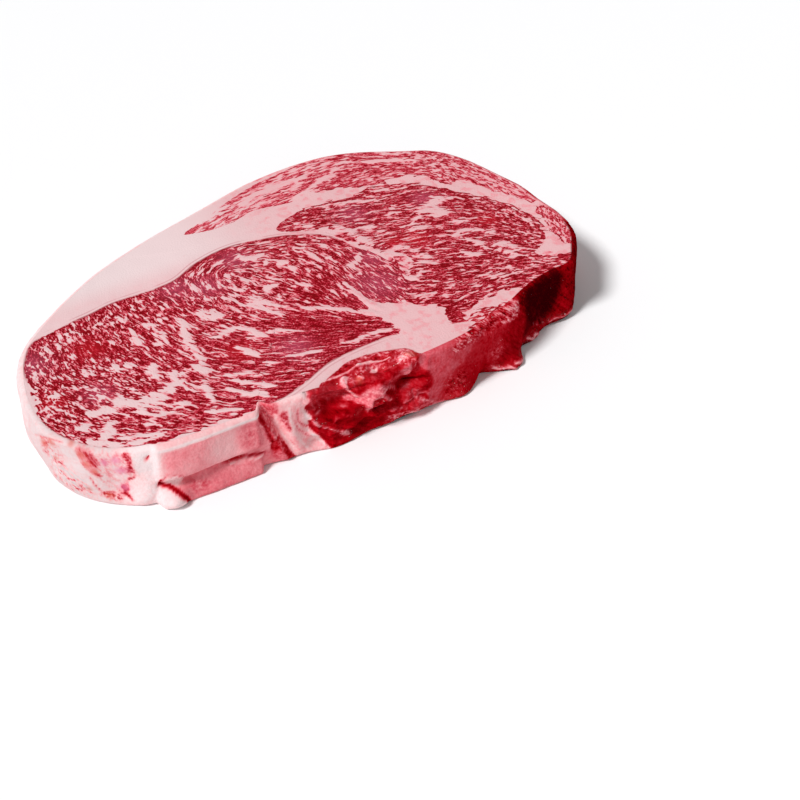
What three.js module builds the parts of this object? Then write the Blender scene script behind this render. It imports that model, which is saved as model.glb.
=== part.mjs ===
// A raw, well marbled boneless rib steak, one thick slice lying on its lower cut face.
// X runs along the steak, from the narrow end of the eye muscle to the broad end under the rib cap.
// Y runs from the chine side, where the ribs were cut away, to the side with the fat cap. Z is up.
// The origin is the middle of the outline on the lower cut face. Lengths are in millimetres.
import * as THREE from "three";

// Driving sizes
const THICKNESS = 24;
const TOP_ROUND = 1.5;
const BOTTOM_ROUND = 1.5;
const FULLNESS = 0.9;

// Soft waves of the side, along the rim and leaning with height, and of the knife cut above it
const SIDE_WAVES = [
  { out: 0.55, along: 11, up: 7, start: 0 },
  { out: 0.35, along: 4.7, up: -4, start: 1.3 },
];
const FACE_WAVES = { broad: 0.35, broadX: 23, broadY: 19, fine: 0.2, fineX: 9, fineY: 12 };

// The edge of the upper cut face, counter-clockwise from the broad end
const RIM_POINTS = [
  [108.3, -4], [107, 9], [103.6, 25], [97.4, 37], [87, 45.3], [70, 56.8], [48, 63.3], [25, 63.6],
  [0, 58.6], [-26, 53.4], [-52, 45.4], [-76, 33.4], [-93.6, 20.6], [-102, 6], [-106.4, -8],
  [-107, -21], [-102.5, -33], [-93, -43.5], [-80, -49.6], [-56, -53.4], [-34, -56.6],
  [-12, -61.2], [12, -64.2], [33, -64.4], [49, -62.4], [63, -57.4], [76, -55.6], [87, -55.4],
  [95.5, -48], [102.6, -39], [106.4, -27], [107.2, -15],
];

// Steps along the rim: short on the chine side, which has the relief, and long elsewhere
const CHINE_STEP = 1.5;
const FAR_STEP = 4.8;
const CHINE_EDGE_Y = -26;
const CHINE_FADE = { from: -34, to: -42 };

// Heights of the rows of the side, and sizes of the rings of the upper cut face
const ROW_HEIGHTS = [0, 0.5, 1.6, 3.4, 5.6, 7.8, 9.4, 10.6, 13, 15.8, 18.6, 20.8, 22.5, 23.5, 24];
const RING_SIZES = [0.965, 0.92, 0.86, 0.78, 0.6, 0.35];

// The bed of the rib: a flat block with a ledge along its foot, and a slot where it ends
const RIB_BED = { from: -84, to: -49, edge: 1.2, ledge: 10, block: 0.9, underLedge: -1.5, foot: 3.4 };
const LEDGE_EDGE = 0.8;
const RIB_SLOT = { x: -46.5, lean: 0.42, halfWidth: 2.4, depth: 3.2, footFade: 7 };

// The torn muscle beside the rib bed: where the upper cut face dips down to it, and its fibre ridges
const TORN = { x: -12, y: -64, halfLength: 22, halfWidth: 12.5, dip: 2.1 };
const RIDGES = { fromX: -33, toX: 11, fromZ: 2, toZ: 21, edge: 2.5, out: 0.9, apart: 2.3, wander: 5 };

// Rounded lumps and hollows of the side: place along X, height, half sizes, and how far out or in
const CHINE_LUMPS = [
  { x: -20, z: 18, across: 10, up: 6, out: -3.8 }, // torn hollow below the rim
  { x: -24, z: 9.5, across: 9, up: 5, out: 1.6 }, // torn muscle's lower lobe
  { x: -7, z: 15, across: 6, up: 7, out: 1.3 }, // fat that hangs over the hollow
  { x: 3, z: 17, across: 6, up: 5, out: -2.9 }, // hollow against the fascia
  { x: -23, z: 0, across: 13, up: 5, out: 3.2 }, // torn muscle's foot
  { x: 24, z: 12, across: 14, up: 12, out: 1.1 }, // smooth fascia
  { x: 46, z: 23, across: 13, up: 4.5, out: -1.9 }, // small muscle on the bevelled rim
  { x: 73, z: 12, across: 13, up: 11, out: -3.2 }, // hollow near the broad end
  { x: 27, z: 0, across: 9, up: 5, out: 2.6 }, // fascia's foot
  { x: 39, z: 0, across: 5, up: 6, out: -2.6 }, // notch beside the flap
  { x: 51.5, z: 0, across: 8.5, up: 8, out: 5.8 }, // ragged flap at the foot
  { x: 67, z: 0, across: 7, up: 5, out: 2.6 }, // smaller flap
  { x: -80, z: 3.2, across: 5.5, up: 4, out: 3.6 }, // curled nub of fat
  { x: -75, z: 7.6, across: 4.5, up: 2, out: -1.8 }, // crease above the nub
  { x: -88, z: 5, across: 5, up: 6, out: 1.5 }, // fat strip at the corner
  { x: -39, z: 7, across: 7, up: 10, out: 3 }, // layered fat beside the slot
];

// The narrow end tucks in towards its foot, most at this place and less within the reach round it
const NARROW_END = { x: -105, y: -14, reach: 27, tuck: 2.6 };

const smoothstep = (from, to, v) => {
  const t = Math.min(1, Math.max(0, (v - from) / (to - from)));
  return t * t * (3 - 2 * t);
};
const between = (from, to, edge, v) =>
  smoothstep(from - edge, from + edge, v) * (1 - smoothstep(to - edge, to + edge, v));
const bell = (distance) => Math.exp(-2 * distance * distance);

// How far the edges between the side and the cut faces are rounded in at a height
function edgeRounding(z) {
  const corner = (radius, depth) =>
    depth >= radius ? 0 : radius - Math.sqrt(radius ** 2 - (radius - depth) ** 2);
  return -corner(TOP_ROUND, THICKNESS - z) - corner(BOTTOM_ROUND, z);
}

// The uneven swell of fat and meat all round the side, fading out at the cut faces
function sideSwell(along, z) {
  const level = (2 * z) / THICKNESS - 1;
  let out = FULLNESS * (1 - level ** 2);
  for (const wave of SIDE_WAVES)
    out += wave.out * Math.sin(along / wave.along + z / wave.up + wave.start) * (1 - level ** 4);
  return out;
}

// The block stands proud of the strip below its ledge, which slants out again to the foot
function ribBed(x, z) {
  const { from, to, edge, ledge, block, underLedge, foot } = RIB_BED;
  const below = THREE.MathUtils.lerp(foot, underLedge, Math.min(1, z / ledge));
  const above = smoothstep(ledge - LEDGE_EDGE, ledge + LEDGE_EDGE, z);
  const out = THREE.MathUtils.lerp(below, block, above);
  const slotX = RIB_SLOT.x + RIB_SLOT.lean * (THICKNESS - z);
  const slot = bell((x - slotX) / RIB_SLOT.halfWidth) * smoothstep(0, RIB_SLOT.footFade, z);
  return out * between(from, to, edge, x) - RIB_SLOT.depth * slot;
}

// Ridges of torn fibre, which run nearly level across the torn muscle
function tornRidges(x, z) {
  const { fromX, toX, fromZ, toZ, edge, out, apart, wander } = RIDGES;
  const inside = between(fromX, toX, edge, x) * between(fromZ, toZ, edge, z);
  const wave = Math.abs(Math.sin(z / apart + 0.6 * Math.sin(x / wander)));
  return inside * out * (1 - 2 * wave);
}

function chineRelief(x, z) {
  let out = ribBed(x, z) + tornRidges(x, z);
  for (const lump of CHINE_LUMPS)
    out += lump.out * bell(Math.hypot((x - lump.x) / lump.across, (z - lump.z) / lump.up));
  return out;
}

// How far the side stands out from the rim at a height
function sideOffset(sample, z) {
  const fromEnd = Math.hypot(sample.x - NARROW_END.x, sample.y - NARROW_END.y);
  const tuck = NARROW_END.tuck * bell(fromEnd / NARROW_END.reach) * (1 - z / THICKNESS) ** 1.5;
  const onChine = 1 - smoothstep(CHINE_FADE.to, CHINE_FADE.from, sample.y);
  const swell = sideSwell(sample.along, z) - tuck;
  return edgeRounding(z) + swell + onChine * chineRelief(sample.x, z);
}

// Height of the upper cut face: a slightly uneven knife cut that dips at the torn muscle
function faceHeight(x, y) {
  const { broad, broadX, broadY, fine, fineX, fineY } = FACE_WAVES;
  const uneven =
    broad * Math.sin(x / broadX + 0.8) * Math.cos(y / broadY) + fine * Math.sin(x / fineX - y / fineY);
  const torn = Math.hypot((x - TORN.x) / TORN.halfLength, (y - TORN.y) / TORN.halfWidth);
  return THICKNESS + uneven - TORN.dip * (1 - smoothstep(0.5, 1, torn));
}

// Points round the rim, each with its outward direction and its distance along the rim
function rimSamples() {
  const curve = new THREE.CatmullRomCurve3(
    RIM_POINTS.map(([x, y]) => new THREE.Vector3(x, y, 0)),
    true,
    "centripetal",
  );
  curve.arcLengthDivisions = 2000;
  const length = curve.getLength();
  const samples = [];
  let along = 0;
  while (along < length - FAR_STEP / 2) {
    const point = curve.getPointAt(along / length);
    const tangent = curve.getTangentAt(along / length);
    samples.push({ x: point.x, y: point.y, outX: tangent.y, outY: -tangent.x, along });
    along += point.y < CHINE_EDGE_Y ? CHINE_STEP : FAR_STEP;
  }
  return samples;
}

// One closed skin: the rows of the side, the rings of the upper face, and the flat lower face
function steakGeometry() {
  const samples = rimSamples();
  const count = samples.length;
  const positions = [];
  for (const height of ROW_HEIGHTS)
    for (const sample of samples) {
      const out = sideOffset(sample, height);
      const x = sample.x + sample.outX * out;
      const y = sample.y + sample.outY * out;
      positions.push(x, y, (height / THICKNESS) * faceHeight(x, y));
    }
  const rimStart = (ROW_HEIGHTS.length - 1) * count * 3;
  for (const size of RING_SIZES)
    for (let i = 0; i < count; i++) {
      const x = positions[rimStart + 3 * i] * size;
      const y = positions[rimStart + 3 * i + 1] * size;
      positions.push(x, y, faceHeight(x, y));
    }
  const topCentre = positions.length / 3;
  positions.push(0, 0, faceHeight(0, 0));
  const bottomCentre = topCentre + 1;
  positions.push(0, 0, 0);

  const triangles = [];
  const ringCount = ROW_HEIGHTS.length + RING_SIZES.length;
  for (let ring = 0; ring < ringCount - 1; ring++)
    for (let i = 0; i < count; i++) {
      const next = (i + 1) % count;
      const a = ring * count + i;
      const b = ring * count + next;
      const c = a + count;
      const d = b + count;
      triangles.push(a, b, d, a, d, c);
    }
  for (let i = 0; i < count; i++) {
    const next = (i + 1) % count;
    const lastRing = (ringCount - 1) * count;
    triangles.push(lastRing + i, lastRing + next, topCentre);
    triangles.push(next, i, bottomCentre);
  }
  const geometry = new THREE.BufferGeometry();
  geometry.setAttribute("position", new THREE.Float32BufferAttribute(positions, 3));
  geometry.setIndex(triangles);
  geometry.computeVertexNormals();
  return geometry;
}

const marbledBeef = new THREE.MeshStandardMaterial({
  color: new THREE.Color(0.72, 0.3, 0.34),
  roughness: 0.42,
  metalness: 0,
});

const geometry = steakGeometry();
const middle = new THREE.Vector3();
geometry.computeBoundingBox();
geometry.boundingBox.getCenter(middle);
geometry.translate(-middle.x, -middle.y, 0);

const steak = new THREE.Mesh(geometry, marbledBeef);
steak.name = "steak";

const group = new THREE.Group();
group.add(steak);

export default group;
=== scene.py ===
"""The looks of a raw, heavily marbled boneless rib steak that lies on its lower cut face.

The skin of the steak is one closed mesh. Its cut faces are coloured by a marbling of fat that follows
the grain of each muscle, and its side by membranes, fat and torn muscle. All lengths are in
millimetres until the mesh is scaled to metres at the end.
"""

import math

import bpy
import numpy as np
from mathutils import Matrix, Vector, noise


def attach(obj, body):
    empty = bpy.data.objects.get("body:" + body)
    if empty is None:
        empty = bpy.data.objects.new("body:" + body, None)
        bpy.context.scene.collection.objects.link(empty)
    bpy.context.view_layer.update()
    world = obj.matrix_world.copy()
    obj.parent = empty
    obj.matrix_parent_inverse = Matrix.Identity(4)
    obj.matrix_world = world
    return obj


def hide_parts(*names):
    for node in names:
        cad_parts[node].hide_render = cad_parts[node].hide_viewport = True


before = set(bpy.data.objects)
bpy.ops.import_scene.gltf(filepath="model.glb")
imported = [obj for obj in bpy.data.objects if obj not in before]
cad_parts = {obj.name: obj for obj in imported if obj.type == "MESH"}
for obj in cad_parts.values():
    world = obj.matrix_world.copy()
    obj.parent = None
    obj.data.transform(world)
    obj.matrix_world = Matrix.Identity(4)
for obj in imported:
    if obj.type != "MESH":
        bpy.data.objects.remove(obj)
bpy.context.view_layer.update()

MM = 0.001

# Form of the solid, as the part's own source draws it
THICKNESS = 24.0
TOP_ROUND = 1.5
BOTTOM_ROUND = 1.5
FULLNESS = 0.9
SIDE_WAVES = [
    {"out": 0.55, "along": 11, "up": 7, "start": 0},
    {"out": 0.35, "along": 4.7, "up": -4, "start": 1.3},
]
FACE_WAVES = {"broad": 0.35, "broad_x": 23, "broad_y": 19, "fine": 0.2, "fine_x": 9, "fine_y": 12}
RIM_POINTS = [
    (108.3, -4), (107, 9), (103.6, 25), (97.4, 37), (87, 45.3), (70, 56.8), (48, 63.3), (25, 63.6),
    (0, 58.6), (-26, 53.4), (-52, 45.4), (-76, 33.4), (-93.6, 20.6), (-102, 6), (-106.4, -8),
    (-107, -21), (-102.5, -33), (-93, -43.5), (-80, -49.6), (-56, -53.4), (-34, -56.6),
    (-12, -61.2), (12, -64.2), (33, -64.4), (49, -62.4), (63, -57.4), (76, -55.6), (87, -55.4),
    (95.5, -48), (102.6, -39), (106.4, -27), (107.2, -15),
]
CHINE_FADE = {"from": -34, "to": -42}
RIB_BED = {
    "from": -84, "to": -49, "edge": 1.2, "ledge": 10, "block": 0.9, "under_ledge": -1.5, "foot": 3.4,
}
LEDGE_EDGE = 0.8
RIB_SLOT = {"x": -46.5, "lean": 0.42, "half_width": 2.4, "depth": 3.2, "foot_fade": 7}
TORN = {"x": -12, "y": -64, "half_length": 22, "half_width": 12.5, "dip": 2.1}
RIDGES = {
    "from_x": -33, "to_x": 11, "from_z": 2, "to_z": 21, "edge": 2.5, "out": 0.9, "apart": 2.3,
    "wander": 5,
}
CHINE_LUMPS = [
    {"x": -20, "z": 18, "across": 10, "up": 6, "out": -3.8},
    {"x": -24, "z": 9.5, "across": 9, "up": 5, "out": 1.6},
    {"x": -7, "z": 15, "across": 6, "up": 7, "out": 1.3},
    {"x": 3, "z": 17, "across": 6, "up": 5, "out": -2.9},
    {"x": -23, "z": 0, "across": 13, "up": 5, "out": 3.2},
    {"x": 24, "z": 12, "across": 14, "up": 12, "out": 1.1},
    {"x": 46, "z": 23, "across": 13, "up": 4.5, "out": -1.9},
    {"x": 73, "z": 12, "across": 13, "up": 11, "out": -3.2},
    {"x": 27, "z": 0, "across": 9, "up": 5, "out": 2.6},
    {"x": 39, "z": 0, "across": 5, "up": 6, "out": -2.6},
    {"x": 51.5, "z": 0, "across": 8.5, "up": 8, "out": 5.8},
    {"x": 67, "z": 0, "across": 7, "up": 5, "out": 2.6},
    {"x": -80, "z": 3.2, "across": 5.5, "up": 4, "out": 3.6},
    {"x": -75, "z": 7.6, "across": 4.5, "up": 2, "out": -1.8},
    {"x": -88, "z": 5, "across": 5, "up": 6, "out": 1.5},
    {"x": -39, "z": 7, "across": 7, "up": 10, "out": 3},
]
NARROW_END = {"x": -105, "y": -14, "reach": 27, "tuck": 2.6}

# How finely the skin is meshed. Its steps round the rim are closer along the chine side, which has the
# relief, and change over between these places on Y, and on X round the narrow end
RIM_STEPS = 880
CHINE_SPACING = 0.5
FAR_SPACING = 0.85
CHINE_FROM_Y = (-46, -34)
NARROW_END_FROM_X = (-98, -103)
ROW_COUNT = 38

# The lower cut face keeps this share of its faces, apart from a narrow rim outside this reach
BOTTOM_SHARE = 0.12
BOTTOM_REACH = 0.985

# Points of the unshaped drum below this height are on its lower face
FLAT = 1e-6

# Where the chine side, below this Y, turns into the narrow end, on X
CHINE_BELOW_Y = -40
TURN_X = -95

# Steps between two points of a smooth line, and round the outlines of the muscles and patches
LINE_STEPS = 60
MUSCLE_STEPS = 160
EYE_STEPS = 240
PATCH_STEPS = 90
RIM_OUTLINE_STEPS = 200

# No part of the skin stands higher than this
HIGHEST = 24.9

# Borders of the muscles on the cut face
MUSCLES = {
    "eye": [
        (-95, 15), (-89, 22), (-78, 24), (-65, 25), (-56, 26), (-46, 25), (-39, 24), (-32, 24),
        (-21, 28), (-9, 30), (1, 29), (12, 25), (22, 19), (28, 12), (30, 4), (34, -4), (37, -15),
        (35, -28), (28, -36), (21, -34), (16, -28), (15, -19), (13.4, -22), (13, -32), (8, -29),
        (12, -37), (13, -49), (9, -48), (-4, -47), (-17, -48), (-30, -52), (-39, -53.6), (-48, -53.4),
        (-61, -51.2), (-75, -50), (-86, -47.2), (-93.4, -42.2), (-100.8, -35.4), (-104.8, -26.4),
        (-105.4, -16), (-102, -4), (-98, 10),
    ],
    "cap": [
        (15, 29), (29, 34), (38, 33), (54, 30), (60, 32), (70, 27), (78, 20), (86, 6), (93, -4),
        (96, -16), (97, -27), (92, -35), (87, -39), (81, -42), (83, -46), (91, -49), (91, -53),
        (84, -58), (75, -58.5), (65, -57.4), (59, -53), (51, -52), (37, -55), (33, -58), (30, -55),
        (33, -47), (27, -40), (25, -34), (30, -27), (39, -22), (43, -14), (37, -7), (34, 3), (33, 15),
        (23, 21),
    ],
    "band": [
        (-14, 47), (-7, 44), (4, 43), (17, 45), (31, 41), (37, 44), (50, 37), (64, 31), (76, 29),
        (82, 25), (84, 18), (87, 12), (92, 12), (96, 1), (100, -5), (101, -11), (105, -17), (106, -6),
        (106, 9), (104.5, 20), (99, 34), (91, 42), (78, 51), (66, 59), (50, 62), (29, 61), (13, 57),
        (-2, 51),
    ],
    "end": [
        (101, -20), (107, -22), (105.4, -34), (101, -42), (95, -48), (93, -44), (95, -36), (98, -28),
    ],
    "bevel": [
        (34, -61), (41, -56), (51, -58), (55, -61), (49, -64), (38, -67), (33, -66),
    ],
    "torn": [
        (-28.8, -59.3), (-25.7, -56), (-22, -54.4), (-18.3, -53.2), (-15, -52.4), (-12.9, -51.6),
        (-8.7, -51.2), (-0.9, -52.2), (5, -54.6), (9.2, -57), (10.4, -59.9), (10.2, -64.5), (-12, -68),
    ],
}

# Grain of the marbling: place, direction in degrees, length of the streaks, and share of fat. Each mark
# fades out with the square of its distance over this reach
GRAIN_REACH = 90
GRAIN_MARKS = {
    "eye": [
        (-98, 5, 74, 1.6, 0.3), (-90, 14, 74, 1.4, 0.22), (-80, 18, 84, 2.2, 0.34),
        (-65, 18, 84, 2.2, 0.36), (-50, 18, 92, 2.4, 0.28), (-38, 18, 95, 2.4, 0.22),
        (-26, 20, 60, 1.6, 0.32), (-18, 24, 18, 3, 0.34), (-5, 25, 172, 3, 0.36),
        (8, 22, 156, 3, 0.36), (20, 14, 138, 2.6, 0.34), (-88, 4, 96, 2, 0.17),
        (-76, 8, 88, 2.2, 0.1), (-60, 6, 92, 3, 0.25), (-48, 4, 98, 3.4, 0.3),
        (-38, 6, 97, 3, 0.3), (-28, 6, 90, 2.4, 0.42), (-20, 8, 96, 3, 0.46),
        (-10, 8, 115, 3, 0.44), (2, 10, 124, 3, 0.42), (12, 6, 104, 3.4, 0.34),
        (22, 2, 108, 3, 0.36), (-100, -12, 84, 1.6, 0.46), (-88, -10, 118, 2, 0.3),
        (-76, -12, 106, 1.6, 0.36), (-60, -10, 104, 3, 0.35), (-48, -10, 104, 4, 0.4),
        (-36, -8, 128, 3, 0.42), (-24, -8, 118, 4.5, 0.46), (-10, -6, 120, 3, 0.4),
        (4, -10, 104, 3, 0.22), (14, -8, 86, 3.4, 0.3), (26, -6, 92, 3, 0.38),
        (-96, -26, 112, 2, 0.55), (-84, -28, 118, 2.6, 0.4), (-70, -24, 122, 2, 0.45),
        (-56, -24, 112, 3, 0.5), (-42, -24, 131, 3.6, 0.3), (-28, -22, 126, 4.5, 0.38),
        (-14, -22, 130, 5, 0.34), (0, -18, 118, 3.4, 0.28), (9, -24, 96, 4, 0.16),
        (22, -20, 92, 2.6, 0.3), (32, -16, 100, 2.6, 0.28), (-84, -40, 136, 3.4, 0.42),
        (-72, -38, 122, 3, 0.4), (-60, -38, 122, 3.4, 0.38), (-48, -38, 128, 5, 0.25),
        (-36, -36, 138, 5.5, 0.38), (-24, -34, 142, 5.5, 0.26), (-10, -30, 144, 5, 0.1),
        (2, -34, 142, 4.5, 0.16), (-72, -46, 146, 4, 0.5), (-58, -46, 144, 5, 0.38),
        (-44, -46, 146, 5.5, 0.26), (-30, -44, 152, 5.5, 0.28), (-16, -41, 160, 5.5, 0.2),
        (-2, -43, 162, 5, 0.28), (8, -44, 152, 4, 0.34),
    ],
    "cap": [
        (22, 28, 160, 2.6, 0.34), (38, 30, 172, 3, 0.36), (54, 28, 162, 4.5, 0.4),
        (68, 24, 158, 3.4, 0.34), (32, 22, 156, 2.6, 0.3), (44, 22, 168, 3.4, 0.3),
        (56, 18, 156, 4, 0.3), (70, 14, 154, 3, 0.35), (80, 10, 132, 2.6, 0.36),
        (36, 12, 150, 2.6, 0.5), (46, 10, 154, 3, 0.35), (58, 8, 154, 4, 0.35),
        (44, 0, 176, 2.6, 0.3), (54, 0, 158, 4.5, 0.34), (68, -2, 154, 4, 0.36),
        (82, 0, 128, 2.6, 0.24), (50, -9, 157, 4.5, 0.3), (64, -10, 155, 4, 0.22),
        (78, -10, 152, 3, 0.3), (90, -8, 112, 2.4, 0.3), (50, -18, 144, 2.6, 0.34),
        (62, -20, 138, 3, 0.24), (74, -20, 152, 2.4, 0.3), (88, -20, 96, 2, 0.26),
        (32, -34, 136, 2.6, 0.34), (44, -32, 158, 3, 0.24), (56, -32, 146, 2.4, 0.22),
        (68, -34, 150, 2.2, 0.3), (84, -32, 128, 2.2, 0.3), (38, -44, 166, 3, 0.22),
        (50, -46, 176, 3, 0.28), (64, -46, 158, 2.4, 0.26), (78, -48, 140, 2.4, 0.28),
    ],
    "band": [
        (-8, 48, 8, 3.4, 0.6), (6, 50, 14, 4, 0.7), (18, 53, 4, 4, 0.7), (18, 47, 0, 3.4, 0.68),
        (30, 57, 2, 4, 0.58), (44, 58, 172, 3.4, 0.57), (36, 49, 174, 3, 0.48),
        (48, 48, 176, 3.4, 0.56), (58, 54, 162, 3.4, 0.52), (46, 42, 168, 2.6, 0.4),
        (60, 44, 170, 2.2, 0.36), (60, 38, 174, 3, 0.3), (72, 50, 146, 3, 0.43),
        (72, 38, 158, 2.8, 0.36), (84, 44, 145, 2.6, 0.36), (82, 34, 148, 2.6, 0.34),
        (90, 34, 140, 1.2, 0.5), (96, 30, 122, 1.2, 0.5), (94, 18, 100, 1.8, 0.5),
        (102, 16, 104, 2.2, 0.48), (96, 8, 118, 1.8, 0.5), (102, 2, 92, 3, 0.6),
        (104, -10, 97, 3, 0.6),
    ],
    "end": [(101, -34, 68, 1.6, 0.46)],
    "bevel": [(44, -61, 172, 2, 0.3)],
    "torn": [(-24, -56, 30, 3, 0.16), (-10, -54, 4, 3.4, 0.3), (4, -57, 165, 3, 0.3)],
}

# Pools and rivers of fat inside the muscles: half width, and the line that they follow
POOLS = [
    (2.2, [(-92, -22), (-86, -23.5), (-81, -23), (-77, -27), (-72, -28.5), (-66, -27), (-60, -26.5)]),
    (1.0, [(-78, -29), (-76.5, -35), (-74, -39)]),
    (1.8, [(-98, -26), (-96, -27)]),
    (1.9, [(-95, -35.5), (-91, -33.5), (-88.5, -30)]),
    (1.1, [(-101, -31), (-96, -37), (-90, -41)]),
    (3.1, [(-53, -22), (-50.5, -25.5)]),
    (1.7, [(-50, -22.5), (-47.5, -18), (-46.3, -11), (-45.5, -5), (-43, -1), (-43, 3)]),
    (1.2, [(-54, -30), (-56, -36), (-57, -41)]),
    (1.1, [(-66, -35), (-64.5, -39)]),
    (1.8, [(-62.5, -12.5), (-65, -15.5), (-65.5, -18.5)]),
    (1.2, [(-60, -21), (-61, -25)]),
    (1.8, [(-73, -4), (-73.5, -8)]),
    (1.2, [(-71, -6.5), (-67.5, -9)]),
    (1.6, [(-82.5, -1), (-81, -6)]),
    (0.9, [(-93, 1), (-91, 0.5)]),
    (0.8, [(-94, 5), (-93.5, 4)]),
    (0.8, [(-85, 7), (-84.6, 5)]),
    (1.1, [(-98, -7), (-94, -8)]),
    (1.2, [(-67, 18), (-64.8, 18)]),
    (1.0, [(-62.5, 16.5), (-61, 15.5)]),
    (0.9, [(-59, 18.5), (-57.5, 14)]),
    (0.7, [(-79, 20), (-75, 19.2), (-74, 17.2)]),
    (0.9, [(-82.3, 16.5), (-83, 14)]),
    (0.6, [(-87.5, 18), (-86, 12)]),
    (0.9, [(-68.3, 9.5), (-67, 5)]),
    (0.9, [(-58.5, 10), (-59.5, 5), (-60, 0)]),
    (0.8, [(-55.5, 9), (-52.5, 8), (-50, 5)]),
    (0.8, [(-52, 4), (-52, -3), (-53, -5)]),
    (1.1, [(-48.5, 8), (-46, 6.6)]),
    (1.0, [(-43.5, 14), (-41.5, 11)]),
    (0.8, [(-47, -32), (-40, -36), (-35, -41)]),
    (0.9, [(-46, -36), (-42, -41), (-37, -47)]),
    (0.8, [(-50, -38), (-46, -45), (-42, -50)]),
    (1.1, [(-44, -45), (-41, -48)]),
    (0.8, [(-62, -44), (-57, -47.5), (-52, -50)]),
    (0.8, [(-97, -37), (-92, -41), (-86, -44), (-79, -45.5)]),
    (0.7, [(-90, -38), (-84, -42), (-77, -45)]),
    (2.1, [(-35, 3), (-33, -0.5), (-30.5, -3.5)]),
    (1.3, [(-38, -13), (-33, -12.4), (-29, -13), (-27, -16), (-26, -20), (-24, -23)]),
    (1.3, [(-35, -21), (-34, -25), (-32, -29.5)]),
    (1.7, [(-17, -0.5), (-15, -5), (-13.5, -9)]),
    (1.4, [(-13.5, -9), (-10, -13), (-7, -17), (-4, -20), (1, -23)]),
    (1.7, [(1, -23), (5, -27), (9, -31.5), (13, -35)]),
    (0.8, [(-19, -4), (-17, -9), (-15, -13), (-13, -17)]),
    (0.7, [(-22, -21), (-18, -24), (-15, -27), (-11, -31)]),
    (0.7, [(-27, -36), (-20, -39), (-14, -41)]),
    (0.7, [(-33, -34), (-28, -39)]),
    (2.4, [(5, 5.2), (6, 3.8)]),
    (1.1, [(3, 9.5), (7.5, 8)]),
    (1.1, [(13, 14), (15, 10), (15.4, 3.5)]),
    (1.0, [(21.5, -7.2), (25, -7.5), (28, -5), (30, -3)]),
    (0.8, [(18.5, 2), (20, 0)]),
    (0.9, [(-5.5, 24), (-5, 20), (-2, 18), (2, 18.4)]),
    (0.7, [(-18, 22), (-11, 24)]),
    (1.2, [(-28.6, 18), (-29, 14)]),
    (1.4, [(-13, 10), (-12.5, 6)]),
    (0.9, [(-4, 6), (-4, 1)]),
    (0.7, [(-10, 0.5), (-4, -0.5)]),
    (0.8, [(0, -5), (3, -6), (4, -9)]),
    (0.9, [(-8, -7.5), (-7.6, -6)]),
    (1.3, [(14.6, -15), (14, -22), (14.4, -28), (16, -34)]),
    (0.8, [(-7, -41.5), (-2, -43.3), (3, -43), (8, -44), (12, -45.5)]),
    (0.7, [(-18, 10), (-16, 3)]),
    (0.6, [(-24, 6), (-22, 0), (-20.5, -4)]),
    (0.8, [(1, 14.5), (-1, 12)]),
    (0.8, [(-16, 16), (-15, 13)]),
    (4.2, [(66, 5.5), (69.6, 3), (71.4, -0.5)]),
    (1.0, [(66, 5.5), (61, 2.5), (57, 0.5)]),
    (1.2, [(70, 7), (76, 8), (80, 5.6)]),
    (1.2, [(53, -1), (57, -3), (61, -6)]),
    (0.9, [(42, -8), (47, -10.5)]),
    (2.3, [(42.6, -21.5), (45.5, -22.5), (47, -24.5)]),
    (1.2, [(41, -26), (37, -28), (34, -25.5)]),
    (0.9, [(46.5, -15), (49, -18), (48.4, -21)]),
    (1.1, [(60, -24.5), (62, -28.5), (65, -30)]),
    (1.8, [(72.5, -29), (76, -30), (77, -35)]),
    (1.0, [(73, -33), (75.5, -38)]),
    (1.3, [(67, -20), (69, -23), (69, -27)]),
    (0.9, [(64, -15.4), (68, -14.4), (73, -16), (75.5, -17.4)]),
    (1.3, [(76, -21), (78, -22)]),
    (1.4, [(57, -41), (60, -44), (63.5, -46)]),
    (0.9, [(30, -37), (37, -39.4)]),
    (1.0, [(51, 15), (55, 12), (59, 9)]),
    (0.9, [(42, 9.4), (46, 8)]),
    (0.8, [(42, 28), (48, 27), (53, 24), (57, 22)]),
    (0.7, [(60, 27), (65, 26.4)]),
    (1.7, [(34, 17), (35.4, 11), (36, 4), (37.4, -1)]),
    (1.5, [(35, -6), (39, -10), (41.4, -14.5)]),
    (0.8, [(93, -22), (93, -27)]),
    (0.9, [(71, -8), (75, -9.5), (80, -11)]),
    (1.0, [(33, 43), (41, 44), (48, 46), (57, 49), (62, 49.5)]),
    (1.6, [(15, 51.5), (22, 53.5), (30, 54.2), (44, 53)]),
    (1.2, [(70, 47), (75, 44), (80, 41), (86, 36)]),
    (1.0, [(76, 53.5), (82, 46), (88, 41)]),
    (1.1, [(-6, 49.3), (2, 51.3), (10, 54)]),
]

# How much the pools add to the marbling's fat, and the lean spots and the muscles' borders take away
POOL_STRENGTH = 2.3
LEAN_STRENGTH = 0.7
BORDER_STRENGTH = 0.5

# Spots of lean meat with hardly any fat: half width, and line
LEAN = [
    (3.4, [(-78, 10), (-72, 7), (-70, 3)]),
    (2.6, [(-41, 17), (-39, 14)]),
    (3.6, [(-12, -26), (-7, -30), (-2, -33), (4, -37)]),
    (2.0, [(8, -23), (9.5, -28)]),
    (2.4, [(-36, -22), (-39, -27)]),
    (2.2, [(-31, -15), (-30, -18)]),
    (1.8, [(-44, -12), (-43, -15)]),
    (1.0, [(-14, 27), (-2, 26)]),
    (2.0, [(66, 17), (70, 14)]),
    (2.2, [(78, -13), (84, -17)]),
    (2.0, [(50, -28), (56, -27)]),
    (1.6, [(-68, -14), (-67.5, -16)]),
    (1.2, [(-99.6, -36.4), (-94, -41.2), (-87, -45.8), (-78, -48.6)]),
]

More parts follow.
